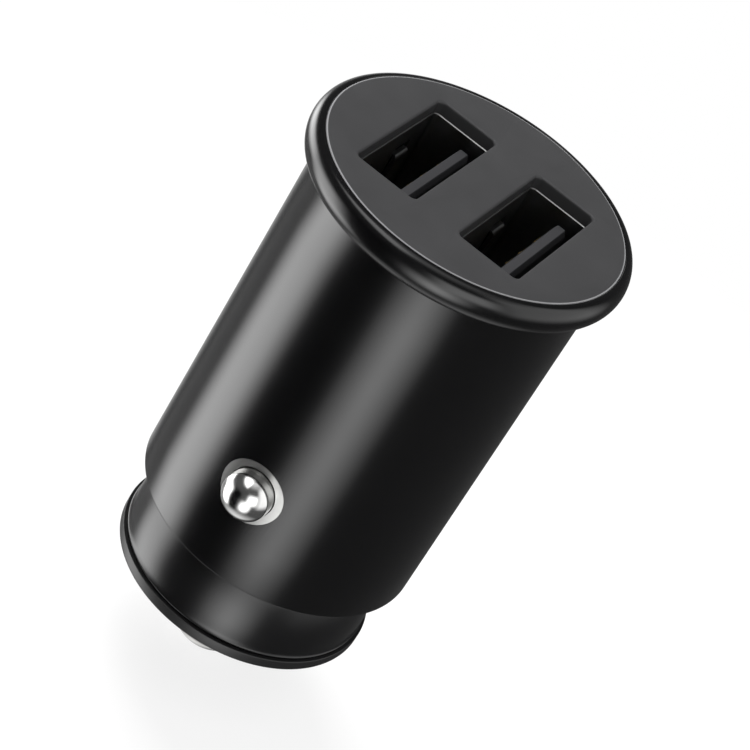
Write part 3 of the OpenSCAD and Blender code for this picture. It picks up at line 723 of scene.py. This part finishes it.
class Finishes:
    """All finishes of the plug, each built once."""

    BLACK_METAL = Lacquer("satin_black_metal", (0.0018, 0.0018, 0.002), 0.2, 0.5, 0.0005, 10.0, 0.025)
    # The face's last number is the radius past which a painted highlight, a bright line, is painted round
    # the plate's edge.
    GREY_FACE = Lacquer("grey_face", (0.03, 0.03, 0.031), 0.45, 0.35, 0.006, 12.0, 0.05, 0.0, 11.02)
    BLACK_MOULDING = Moulded("black_moulding", (0.004, 0.004, 0.0043), 0.24, 0.003)
    CAP_MOULDING = Moulded("cap_moulding", (0.0045, 0.0045, 0.0048), 0.42, 0.004)
    NICKEL = Plated("nickel_plate", (0.78, 0.77, 0.75), 0.1)
    NICKEL_SIDE = Plated("nickel_plate_side", (0.74, 0.74, 0.73), 0.16, 0.0005, Axis.Y, 0.06)
    BUSH = Plated("nickel_plate_bush", (0.46, 0.46, 0.45), 0.32, 0.0005, Axis.Y, 0.06)
    SPRING = Plated("spring_steel", (0.5, 0.5, 0.5), 0.3)
    PORT_STEEL = Plated("port_steel", (0.26, 0.26, 0.26), 0.3, 0.002)
    BRASS = Plated("brass_sheet", (0.78, 0.58, 0.24), 0.25)
    PORT_MOULDING = Moulded("port_moulding", (0.03, 0.03, 0.032), 0.42, 0.004)
    LAMINATE = Laminate("board_laminate")
    FERRITE = Lacquer("ferrite", (0.035, 0.035, 0.04), 0.55, 0.4, 0.02, 6.0, 0.1)
    COPPER = Lacquer("copper_wire", (0.62, 0.2, 0.06), 0.25, 0.5, 0.004, 5.0, 0.08, 0.9)
    SLEEVE = Sleeve("can_sleeve")
    CHIP = Moulded("chip_moulding", (0.012, 0.012, 0.013), 0.5, 0.008)
    CERAMIC = Lacquer("ceramic_body", (0.42, 0.28, 0.16), 0.5, 0.5, 0.01, 7.0, 0.1)

    def __init__(self) -> None:
        """Starts with no material built."""
        self.made: dict[str, bpy.types.Material] = {}

    def dress(self, piece: bpy.types.Object, finish: Finish) -> None:
        """Gives a piece one material all over.

        Args:
            piece: The piece or CAD node.
            finish: The finish, built when it is first asked for.
        """
        if finish.name not in self.made:
            self.made[finish.name] = finish.build()
        piece.data.materials.clear()
        piece.data.materials.append(self.made[finish.name])


@dataclass
class SubAssembly:
    """A group of pieces that are built and dressed together."""

    finishes: Finishes
    pieces: list[bpy.types.Object] = field(default_factory=list)

    def place(self, made: Piece, body: Body, finish: Finish, slot: str,
              *nodes: str) -> bpy.types.Object:
        """Dresses a new piece, lets it stand for CAD nodes and makes it ride on their body.

        Args:
            made: The new piece.
            body: The body that it moves with.
            finish: Its finish.
            slot: Name of a material slot; not used.
            nodes: The CAD nodes that it replaces.

        Returns:
            The piece's object.
        """
        piece = made.object
        self.finishes.dress(piece, finish)
        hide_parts(*nodes)
        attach(piece, body.value)
        self.pieces.append(piece)
        return piece

    def keep(self, node: str, finish: Finish) -> None:
        """Dresses a CAD node whose shape stays."""
        self.finishes.dress(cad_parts[node], finish)
        self.pieces.append(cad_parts[node])

    def report(self) -> None:
        """Logs each piece of the group."""
        for piece in self.pieces:
            LOG.info("%s: %s, %d faces", type(self).__name__, piece.name, len(piece.data.polygons))


@dataclass
class Housing(SubAssembly):
    """The drawn barrel with its rolled rim, the face plate, the tail and the end cap."""

    bore_r: float = 9.752
    lower_z: float = -28.25
    lower_round: float = 0.15
    face_z: float = 3.0
    face_r: float = 11.302
    rim_r: float = 12.052
    rim_z: float = 1.85
    rim_under: float = 1.3
    rim_fillet: float = 0.25
    lip_ease: float = 0.04
    plate_r: float = 11.152
    plate_seat: float = 1.4
    plate_round: float = 0.08
    boss_z: float = -1.0
    gap: float = 0.02
    drill_reach: float = 14.0
    port_w: float = 4.9
    port_l: float = 12.4
    port_corner: float = 0.5
    port_lip: float = 0.2
    lip_steps: int = 5
    pocket_w: float = 5.4
    pocket_l: float = 12.9
    pocket_corner: float = 0.75
    pocket_z: float = 2.0
    waist_r: float = 9.462
    waist_out: float = 0.96
    shoulder_h: float = 5.15
    neck_fillet: float = 0.35
    foot_r: float = 9.562
    flare_out: float = 0.1
    flare_h: float = 0.45
    foot_round: float = 0.1
    seam_z: float = -34.05
    spigot_r: float = 8.832
    spigot_z: float = -25.1
    tail_floor: float = -27.2
    well_r: float = 6.2
    well_z: float = -28.3
    pin_bore_r: float = 4.3
    pocket_r: float = 7.302
    pocket_in: float = 5.5
    pocket_top: float = -29.85
    ring_in: float = 6.48
    ring_r: float = 7.28
    ring_top: float = -32.85
    cap_r: float = 9.782
    cap_edge: float = 0.06
    cap_round: float = 0.2
    cap_z: float = -34.95
    nose_r: float = 5.2
    nose_z: float = -37.75
    nose_chamfer: float = 0.6
    pin_hole_r: float = 3.05
    hole_ease: float = 0.15

    def outer_wall(self) -> list[Spot]:
        """Outline of the barrel's and rim's outer face, from the lower edge up to the lip."""
        low, fillet = self.lower_round, self.rim_fillet
        foot, neck = self.lower_z + low, self.rim_z - self.rim_under - fillet
        inner = BARREL_R + fillet
        return [
            *arc((BARREL_R - low, foot), (low, low), -90, 0, 6),
            *[(BARREL_R, foot + (neck - foot) * i / 8) for i in range(1, 8)],
            *arc((inner, neck), (fillet, fillet), 180, 90, 8),
            *arc((inner, self.rim_z), (self.rim_r - inner, self.rim_under), -90, 0, 14)[1:],
            *arc((self.face_r, self.rim_z), (self.rim_r - self.face_r, self.face_z - self.rim_z),
                 0, 90, 14)[1:],
        ]

    def barrel(self) -> Piece:
        """Turns the barrel with its rim and drills the two bush holes."""
        seat_r, hole_r, reach = self.plate_r + self.gap, BUSH_R + self.gap, self.drill_reach
        drill = [(0, -reach), (hole_r, -reach), (hole_r, reach), (0, reach)]
        return turned("barrel", [
            (self.bore_r, self.lower_z), *self.outer_wall(),
            (seat_r + self.lip_ease, self.face_z), (seat_r, self.face_z - self.lip_ease),
            (seat_r, self.plate_seat), (self.bore_r, self.plate_seat), (self.bore_r, self.lower_z),
        ], 192).combine(turned("drill", drill, 96).turn(90, Axis.X).shift(z=CONTACT_Z)).close()

    def plate_cutter(self) -> Piece:
        """Makes the cutter of an opening in the face plate, with a rounded lip."""
        half_w, half_l = self.port_w / 2, self.port_l / 2
        cutter = block("opening", (-half_w, -half_l, self.boss_z - REACH),
                       (half_w, half_l, self.face_z - self.port_lip), self.port_corner)
        lip, grown, risen = [], 0.0, 0.0
        for i in range(1, self.lip_steps + 1):
            turn = math.radians(90 * i / self.lip_steps)
            out, up = self.port_lip * (1 - math.cos(turn)), self.port_lip * math.sin(turn)
            lip.append((0, up - risen, (half_w + out) / (half_w + grown), (half_l + out) / (half_l + grown)))
            grown, risen = out, up
        return cutter.draw([*lip, (0, REACH)]).close()

    def face_plate(self) -> Piece:
        """Turns the face plate and cuts its two openings and the shells' pockets."""
        ease, boss_r = self.plate_round, self.bore_r - self.gap
        piece = turned("face_plate_piece", [
            (0, self.face_z), *arc((self.plate_r - ease, self.face_z - ease), (ease, ease), 90, 0, 4),
            (self.plate_r, self.plate_seat), (boss_r, self.plate_seat),
            (boss_r, self.boss_z), (0, self.boss_z)], 160)
        half_w, half_l = self.pocket_w / 2, self.pocket_l / 2
        for x in (-PORT_PITCH / 2, PORT_PITCH / 2):
            piece.combine(self.plate_cutter().shift(x=x))
            pocket = block("pocket", (-half_w, -half_l, self.boss_z - REACH),
                           (half_w, half_l, self.pocket_z), self.pocket_corner)
            piece.combine(pocket.shift(x=x))
        return piece.close(FOLD_ANGLE)

    def shoulder(self, down: float) -> Spot:
        """Point of the tail's shoulder at a depth below the barrel."""
        return self.waist_r - self.waist_out * (1 - down / self.shoulder_h) ** 2, self.lower_z - down

    def tail(self) -> Piece:
        """Turns the tail with its shoulder, flare, spigot and bores."""
        top, fillet, foot = self.lower_z, self.neck_fillet, self.foot_round
        neck = self.shoulder(fillet)[0] + fillet
        waist_z = top - self.shoulder_h
        return turned("tail", [
            *arc((neck, top - fillet), (fillet, fillet), 90, 180, 8),
            *[self.shoulder(fillet + (self.shoulder_h - fillet) * i / 16) for i in range(1, 17)],
            *arc((self.foot_r, waist_z), (self.flare_out, self.flare_h), 180, 270, 8)[1:],
            *arc((self.foot_r - foot, waist_z - self.flare_h), (foot, foot), 0, -90, 6),
            (self.pocket_r, self.seam_z), (self.pocket_r, self.pocket_top),
            (self.pocket_in, self.pocket_top), (self.pocket_in, self.seam_z),
            (self.pin_bore_r, self.seam_z), (self.pin_bore_r, self.well_z), (self.well_r, self.well_z),
            (self.well_r, self.tail_floor), (self.spigot_r, self.tail_floor),
            (self.spigot_r, self.spigot_z), (self.bore_r - self.gap, self.spigot_z),
            (self.bore_r - self.gap, top), (neck, top),
        ], 192)

    def cap(self) -> Piece:
        """Turns the end cap with its locating ring and the nose around the pin."""
        edge, top, nose, hole = self.cap_round, self.cap_edge, self.nose_chamfer, self.pin_hole_r
        return turned("end_cap_piece", [
            (hole, self.seam_z), (self.ring_in, self.seam_z), (self.ring_in, self.ring_top),
            (self.ring_r, self.ring_top), (self.ring_r, self.seam_z),
            *arc((self.cap_r - top, self.seam_z - top), (top, top), 90, 0, 4),
            *arc((self.cap_r - edge, self.cap_z + edge), (edge, edge), 0, -90, 6),
            *arc((self.nose_r + edge, self.cap_z - edge), (edge, edge), 90, 180, 5),
            *arc((self.nose_r - nose, self.nose_z + nose), (nose, nose), 0, -90, 8),
            (hole + self.hole_ease, self.nose_z), (hole, self.nose_z + self.hole_ease),
            (hole, self.seam_z),
        ], 160)

    def build(self) -> None:
        """Builds and places all four pieces."""
        use = self.finishes
        self.place(self.barrel(), Body.PLUG, use.BLACK_METAL, "satin_black_metal", "barrel_shell")
        self.place(self.face_plate(), Body.PLUG, use.GREY_FACE, "grey_face", "face_plate")
        self.place(self.tail(), Body.PLUG, use.BLACK_MOULDING, "black_moulding", "tail_bell")
        self.place(self.cap(), Body.PLUG, use.CAP_MOULDING, "black_moulding", "end_cap")


@dataclass
class ChargingPorts(SubAssembly):
    """The two ports: each a folded sheet shell with spring fingers, a tongue and its strips."""

    inner_w: float = 4.7
    inner_l: float = 12.2
    inner_corner: float = 0.4
    sheet: float = 0.3
    sheet_ease: float = 0.05
    front_z: float = 2.0
    back_z: float = -10.0
    finger_root: float = -5.6
    finger_len: float = 5.0
    finger_steps: int = 8
    finger_w: float = 1.8
    finger_pitch: float = 5.6
    finger_press: float = 0.35
    finger_slot: float = 0.25
    finger_head: float = 1.0
    window_corner: float = 0.2
    curl: float = 0.45
    curl_span: tuple[int, int, int] = (20, 60, 2)
    leg_y: float = 4.2
    leg_l: float = 1.6
    leg_end: float = -11.6
    leg_corner: float = 0.08
    tongue_x: float = 0.515
    tongue_t: float = 1.05
    tongue_corner: float = 0.12
    tip_t: float = 0.58
    tip_h: float = 0.5
    tip_taper: float = 0.1
    tip_round: float = 0.06
    tongue_end: float = 1.4
    tongue_w: float = 10.7
    base_top: float = -7.8
    base_gap: float = 0.02
    strip_w: float = 1.0
    strip_t: float = 0.2
    strip_end: float = 0.6
    strip_corner: float = 0.03
    strip_nose: float = 0.12
    strip_places: tuple[float, ...] = (-3.5, -1.0, 1.0, 3.5)

    def finger(self) -> Piece:
        """Draws a spring finger of the -X wall up from its root, leaning in, with a curled tip."""
        press, curl, length = self.finger_press, self.curl, self.finger_len
        shares = [i / self.finger_steps for i in range(self.finger_steps + 1)]
        path = [(press * share * share * (3 - 2 * share), length * share) for share in shares]
        path += arc((press - curl, length), (curl, curl), *self.curl_span)
        steps = [(there[0] - here[0], there[1] - here[1]) for here, there in zip(path, path[1:])]
        wall, half = -self.inner_w / 2, self.finger_w / 2
        finger = block("finger", (wall - self.sheet, -half, self.finger_root - self.sheet),
                       (wall, half, self.finger_root))
        return finger.draw(steps).close()

    def shell(self) -> Piece:
        """Folds the shell with its finger windows, fingers and solder legs."""
        half_w, half_l, sheet, ease = self.inner_w / 2, self.inner_l / 2, self.sheet, self.sheet_ease
        shell = block("port_shell", (-half_w - sheet, -half_l - sheet, self.back_z),
                      (half_w + sheet, half_l + sheet, self.front_z), self.inner_corner + sheet, ease)
        hollow = block("hollow", (-half_w, -half_l, self.back_z - REACH),
                       (half_w, half_l, self.front_z - ease), self.inner_corner)
        shell.combine(hollow.draw([
            (0, ease, (half_w + ease) / half_w, (half_l + ease) / half_l), (0, REACH)]))
        places = (-self.finger_pitch / 2, self.finger_pitch / 2)
        width, root = self.finger_w / 2 + self.finger_slot, self.finger_root
        for y in places:
            shell.combine(block("window", (-half_w - 2 * sheet, y - width, root),
                                (half_w + 2 * sheet, y + width, root + self.finger_len + self.finger_head),
                                self.window_corner, along=Axis.X))
        single = self.finger()
        parts = [single.copy("finger_copy").turn(angle, Axis.Z).shift(y=y)
                 for y in places for angle in (0, 180)]
        single.remove()
        for x in (-half_w - sheet, half_w):
            for y in (-self.leg_y, self.leg_y):
                parts.append(block("leg", (x, y - self.leg_l / 2, self.leg_end),
                                   (x + sheet, y + self.leg_l / 2, self.back_z), self.leg_corner))
        return shell.join(parts).close(FOLD_ANGLE)

    def tongue(self) -> Piece:
        """Moulds the tongue with its tapered end, the block behind it and the strips' slots."""
        low, high, half = self.tongue_x, self.tongue_x + self.tongue_t, self.tongue_w / 2
        ease, taper, narrow = self.tip_round, self.tip_taper, self.tip_t / self.tongue_t
        tongue = block("tongue", (low, -half, self.base_top - REACH),
                       (high, half, self.tongue_end - self.tip_h), self.tongue_corner)
        tongue.draw([(0, self.tip_h - ease, narrow + taper, 1 - taper / half),
                     (0, ease, narrow / (narrow + taper), 1 - ease / half)])
        half_w, half_l = self.inner_w / 2 - self.base_gap, self.inner_l / 2 - self.base_gap
        base = block("base", (-half_w, -half_l, self.back_z), (half_w, half_l, self.base_top),
                     self.inner_corner, ease)
        base.combine(tongue, Tool.ADD)
        for y in self.strip_places:
            base.combine(block("slot", (low - self.strip_t, y - self.strip_w / 2, self.back_z - REACH),
                               (low, y + self.strip_w / 2, self.strip_end)))
        return base.close(FOLD_ANGLE)

    def strips(self) -> Piece:
        """Cuts the four contact strips, each with a rounded front end, and joins them."""
        low = self.tongue_x - self.strip_t
        made = []
        for y in self.strip_places:
            strip = block("strip", (low, y - self.strip_w / 2, self.leg_end),
                          (self.tongue_x, y + self.strip_w / 2, self.strip_end), self.strip_corner)
            strip.bevel(lambda a, b: min(a.z, b.z) > self.strip_end - NEAR
                        and max(a.x, b.x) < low + self.strip_corner + 0.01, self.strip_nose,
                        EDGE_FACETS)
            made.append(strip)
        return made[0].join(made[1:]).close(FOLD_ANGLE)

    def build(self) -> None:
        """Models one port and places a copy on each side."""
        use = self.finishes
        for kind, model, finish, slot in (
                ("shell", self.shell(), use.PORT_STEEL, "port_steel"),
                ("tongue", self.tongue(), use.PORT_MOULDING, "port_moulding"),
                ("strips", self.strips(), use.BRASS, "brass_sheet")):
            for x, name in ((-PORT_PITCH / 2, "left"), (PORT_PITCH / 2, "right")):
                made = model.copy(f"{name}_{kind}").shift(x=x)
                self.place(made, Body.PLUG, finish, slot, f"{name}_port_{kind}")
            model.remove()


@dataclass
class SideContacts(SubAssembly):
    """The two sprung side contacts with their bushes, springs and spring seats."""

    contact_r: float = 1.8
    dome_r: float = 1.95
    dome_ease: float = 0.45
    tip: float = 12.752
    flange_r: float = 2.35
    flange_back: float = 8.752
    flange_t: float = 0.5
    flange_ease: float = 0.08
    peg_r: float = 1.0
    peg_len: float = 1.2
    peg_chamfer: float = 0.15
    bush_bore: float = 1.85
    bush_inner: float = 9.252
    bush_blank: float = 12.0
    bush_chamfer: float = 0.15
    trim_reach: float = 1.3
    trim_steps: int = 768
    spring_r: float = 1.525
    wire: float = 0.175
    seat_face: float = 0.8
    spring_turns: int = 8
    travel: float = 2.1

    def outward(self, piece: Piece) -> Piece:
        """Lays a piece that was turned about Z along -Y at the contacts' height."""
        return piece.turn(90, Axis.X).shift(z=CONTACT_Z)

    def contact(self) -> Piece:
        """Turns the round-ended contact with its flange and peg."""
        back, ease, peg, end = self.flange_back, self.flange_ease, self.peg_chamfer, self.peg_len
        front, centre = back + self.flange_t, self.tip - self.dome_r
        soft, inner = self.dome_ease, self.contact_r - self.dome_ease
        edge = centre + math.sqrt((self.dome_r - soft) ** 2 - inner ** 2)
        side = math.degrees(math.atan2(edge - centre, inner))
        return self.outward(turned("contact", [
            (0, back - end), (self.peg_r - peg, back - end), (self.peg_r, back - end + peg),
            (self.peg_r, back), (self.flange_r - ease, back), (self.flange_r, back + ease),
            (self.flange_r, front - ease), (self.flange_r - ease, front), (self.contact_r, front),
            *arc((inner, edge), (soft, soft), 0, side, 8),
            *arc((0, centre), (self.dome_r, self.dome_r), side, 90, 24)[1:]], 96))

    def bush(self) -> Piece:
        """Turns the bush and trims it flush with the barrel's outer face."""
        lip, blank, low = BARREL_R - self.bush_chamfer, self.bush_blank, CONTACT_Z * self.trim_reach
        bush = self.outward(turned("bush", [
            (self.bush_bore, self.bush_inner), (BUSH_R, self.bush_inner), (BUSH_R, blank),
            (self.bush_bore + blank - lip, blank), (self.bush_bore, lip),
            (self.bush_bore, self.bush_inner)], 96))
        trim = turned("trim", [(0, low), (BARREL_R, low), (BARREL_R, 0), (0, 0)], self.trim_steps)
        return bush.combine(trim, Tool.TRIM).close()

    def spring(self) -> Piece:
        """Winds the spring between its seat and the contact's flange."""
        return self.outward(coil("side_spring", self.spring_r, self.wire, self.seat_face,
                                 self.flange_back, self.spring_turns))

    def build(self) -> None:
        """Models one contact and places a copy on each side."""
        use = self.finishes
        models = self.contact(), self.bush(), self.spring()
        for side, way, name, body in ((0, -1, "front", Body.FRONT), (180, 1, "rear", Body.REAR)):
            contact, bush, spring = [model.copy(f"{name}_{model.object.name}_piece").turn(side, Axis.Z)
                                     for model in models]
            self.place(contact, body, use.NICKEL_SIDE, "nickel_plate", f"{name}_contact")
            self.place(bush, Body.PLUG, use.BUSH, "nickel_plate", f"{name}_bush")
            spring = self.place(spring, Body.PLUG, use.SPRING, "spring_steel", f"{name}_spring")
            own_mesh(spring)
            self.keep(f"{name}_spring_seat", use.BRASS)
        for model in models:
            model.remove()


@dataclass
class CentrePin(SubAssembly):
    """The sprung centre pin, its spring and the seat above it."""

    pin_r: float = 3.0
    shank: float = 3.0
    dome_r: float = 3.4
    tip_z: float = -42.45
    flange_r: float = 4.0
    flange_low: float = -34.05
    flange_high: float = -33.15
    flange_ease: float = 0.1
    bore_r: float = 2.2
    bore_z: float = -39.05
    spring_r: float = 1.775
    wire: float = 0.225
    seat_z: float = -28.3
    spring_turns: int = 7
    travel: float = 3.0

    def pin(self) -> Piece:
        """Turns the hollow pin with its flange and domed end."""
        side = math.degrees(math.acos(self.pin_r / self.dome_r))
        ease, low, high = self.flange_ease, self.flange_low, self.flange_high
        return turned("pin", [
            (0, self.bore_z), (self.bore_r, self.bore_z), (self.bore_r, high),
            (self.flange_r - ease, high), (self.flange_r, high - ease),
            (self.flange_r, low + ease), (self.flange_r - ease, low),
            (self.pin_r, low), (self.pin_r, low - self.shank),
            *arc((0, self.tip_z + self.dome_r), (self.dome_r, self.dome_r), -side, -90, 20)], 128)

    def build(self) -> None:
        """Builds and places the pin and its spring, and dresses the seat."""
        use = self.finishes
        self.place(self.pin(), Body.PIN, use.NICKEL, "nickel_plate", "centre_pin")
        wound = coil("pin_coil", self.spring_r, self.wire, self.bore_z, self.seat_z, self.spring_turns)
        spring = self.place(wound, Body.PLUG, use.SPRING, "spring_steel", "pin_spring")
        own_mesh(spring)
        self.keep("pin_seat", use.BRASS)


@dataclass
class Electronics(SubAssembly):
    """The two boards and what is soldered to them, all CAD nodes with finishes of their own."""

    def build(self) -> None:
        """Dresses every node."""
        use = self.finishes
        for node, finish in (
                ("connector_board", use.LAMINATE), ("power_board", use.LAMINATE),
                ("choke_core", use.FERRITE), ("choke_winding", use.COPPER),
                ("input_capacitor", use.SLEEVE), ("output_capacitor", use.SLEEVE),
                ("converter_chip", use.CHIP), ("charging_chip", use.CHIP),
                ("rectifier_diode", use.CHIP), ("input_fuse", use.CERAMIC),
                ("ceramic_capacitors", use.CERAMIC), ("chip_resistors", use.CHIP)):
            self.keep(node, finish)


@dataclass(frozen=True)
class Patch:
    """A softbox, or where its level is near 0 a black flag, as reflections see it; in degrees."""

    azimuth: float
    elevation: float
    half_width: float
    half_height: float
    level: float
    soft: float


@dataclass(frozen=True)
class Lamp:
    """A square lamp that points at the plug.

    Its azimuth is 0 towards -Y and positive towards +X. Angles are in degrees, distance and size
    in metres, power in watts.
    """

    name: str
    azimuth: float
    elevation: float
    distance: float
    size: float
    power: float


@dataclass
class Studio:
    """Camera, floor, lamps and surroundings, in metres where no other unit is named."""

    camera_at: Point = (0.0360, -0.1689, 0.1028)
    camera_right: Point = (0.7704, 0.4635, 0.4378)
    camera_up: Point = (-0.6148, 0.3581, 0.7027)
    camera_back: Point = (0.1689, -0.8105, 0.5608)
    lens_mm: float = 144.0
    sensor_mm: float = 36.0
    clip: Spot = (0.01, 20.0)
    floor_mm: float = -42.5
    floor_size: float = 6.0
    floor_colour: Colour = (0.86, 0.86, 0.86)
    floor_rough: float = 0.9
    shade_mm: float = 45.0
    shade: float = 0.2
    fill: float = 0.55
    aim: Point = (0, 0, -0.02)
    lamps: tuple[Lamp, ...] = (
        Lamp("key", -125, 50, 0.5, 0.3, 4.0),
        Lamp("front", 40, 62, 0.5, 0.4, 0.9),
    )
    patches: tuple[Patch, ...] = (
        Patch(22, 0, 172, 68, 0.09, 30.0),
        Patch(180, 36, 60, 30, 0.09, 20.0),
        Patch(-30, -20, 20, 40, 0.0, 14.0),
        Patch(-55, 64, 42, 14, 3.0, 10.0),
        Patch(-118, -30, 12, 30, 0.3, 8.0),
        Patch(-114, -7, 22, 12, 5.0, 12.0),
        Patch(-74, -26, 19, 26, 4.9, 18.0),
        Patch(40, 12, 20, 18, 2.6, 14.0),
        Patch(23, -26, 15, 18, 4.3, 24.0),
        Patch(100, 22, 34, 36, 1.4, 18.0),
    )

    def camera(self) -> None:
        """Puts the camera where the photograph was taken from."""
        data = bpy.data.cameras.new("camera")
        data.lens, data.sensor_width = self.lens_mm, self.sensor_mm
        data.clip_start, data.clip_end = self.clip
        made = bpy.data.objects.new("camera", data)
        turn = Matrix((self.camera_right, self.camera_up, self.camera_back)).transposed()
        made.matrix_world = Matrix.Translation(self.camera_at) @ turn.to_4x4()
        bpy.context.scene.collection.objects.link(made)
        bpy.context.scene.camera = made

    def world(self) -> None:
        """Sets the surroundings.

        They are white to the camera and in reflections, where the flags and softboxes lie over the
        white, and plain fill light for everything else.
        """
        world = bpy.data.worlds.new("studio")
        bpy.context.scene.world = world
        world.use_nodes = True
        world.cycles.sampling_method = "NONE"
        nodes = Nodes(world.node_tree)
        x, y, z = nodes.parts(nodes.node("TexCoord", output="Generated"))
        azimuth = x.math("ARCTAN2", y * -1.0) * math.degrees(1)
        elevation = z.math("ARCSINE") * math.degrees(1)
        level = 1.0
        for patch in self.patches:
            aside = (azimuth - patch.azimuth).math("WRAP", 180.0, -180.0).math("ABSOLUTE")
            across = ((patch.half_width - aside) / patch.soft + MIDDLE).clamp()
            above = (elevation - patch.elevation).math("ABSOLUTE")
            along = ((patch.half_height - above) / patch.soft + MIDDLE).clamp()
            level = level + across * along * (patch.level - level)
        camera = nodes.node("LightPath", output="Is Camera Ray")
        outputs = camera.source.node.outputs
        through, glossy = Socket(outputs["Is Transmission Ray"]), Socket(outputs["Is Glossy Ray"])
        seen = camera.math("MAXIMUM", through)
        strength = seen + (1 - seen) * (glossy * level + (1 - glossy) * self.fill)
        background = world.node_tree.nodes["Background"].inputs
        feed(background["Strength"], strength)
        feed(background["Color"], WHITE)

    def floor(self) -> None:
        """Lays the pale floor, which is white to the camera apart from the shadow by the plug."""
        Piece.clear()
        bpy.ops.mesh.primitive_plane_add(size=self.floor_size, location=(0, 0, self.floor_mm * MM))
        floor = Piece("floor").settle().object
        shader = Shader("floor")
        shader.set(Base_Color=self.floor_colour, Roughness=self.floor_rough, Specular_IOR_Level=0.0)
        white = shader.node("Emission", inputs={"Strength": 1.0})
        seen = shader.node("LightPath", output="Is Camera Ray")
        x, y, _ = shader.parts(shader.place())
        away = (((x * x + y * y) ** 0.5 - self.shade_mm) / self.shade_mm).clamp()
        share = seen * (away * self.shade + (1 - self.shade))
        mix = shader.node("MixShader", inputs={0: share, 1: Socket(shader.shader.outputs[0]), 2: white})
        feed(shader.output.inputs["Surface"], mix)
        floor.data.materials.append(shader.material)
        floor.visible_glossy = False

    def hang(self, lamp: Lamp) -> None:
        """Hangs one lamp, unseen by the camera and in reflections.

        Args:
            lamp: The lamp.
        """
        data = bpy.data.lights.new(lamp.name, "AREA")
        data.shape, data.size, data.energy = "SQUARE", lamp.size, lamp.power
        made = bpy.data.objects.new(lamp.name, data)
        a, e = math.radians(lamp.azimuth), math.radians(lamp.elevation)
        back = Vector((math.sin(a) * math.cos(e), -math.cos(a) * math.cos(e), math.sin(e)))
        made.location = back * lamp.distance + Vector(self.aim)
        made.rotation_mode = "QUATERNION"
        made.rotation_quaternion = back.to_track_quat("Z", "Y")
        made.visible_camera = made.visible_glossy = False
        bpy.context.scene.collection.objects.link(made)

    def build(self) -> None:
        """Sets the whole studio up."""
        bpy.context.scene.view_settings.view_transform = "Standard"
        self.camera()
        self.world()
        self.floor()
        for lamp in self.lamps:
            self.hang(lamp)


def main() -> None:
    """Builds the plug and its studio."""
    logging.basicConfig(level=logging.INFO, format="%(name)s: %(message)s")
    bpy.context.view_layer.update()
    finishes = Finishes()
    for group in (Housing, ChargingPorts, SideContacts, CentrePin, Electronics):
        made = group(finishes)
        made.build()
        made.report()
    Studio().build()


if __name__ == "__main__":
    main()
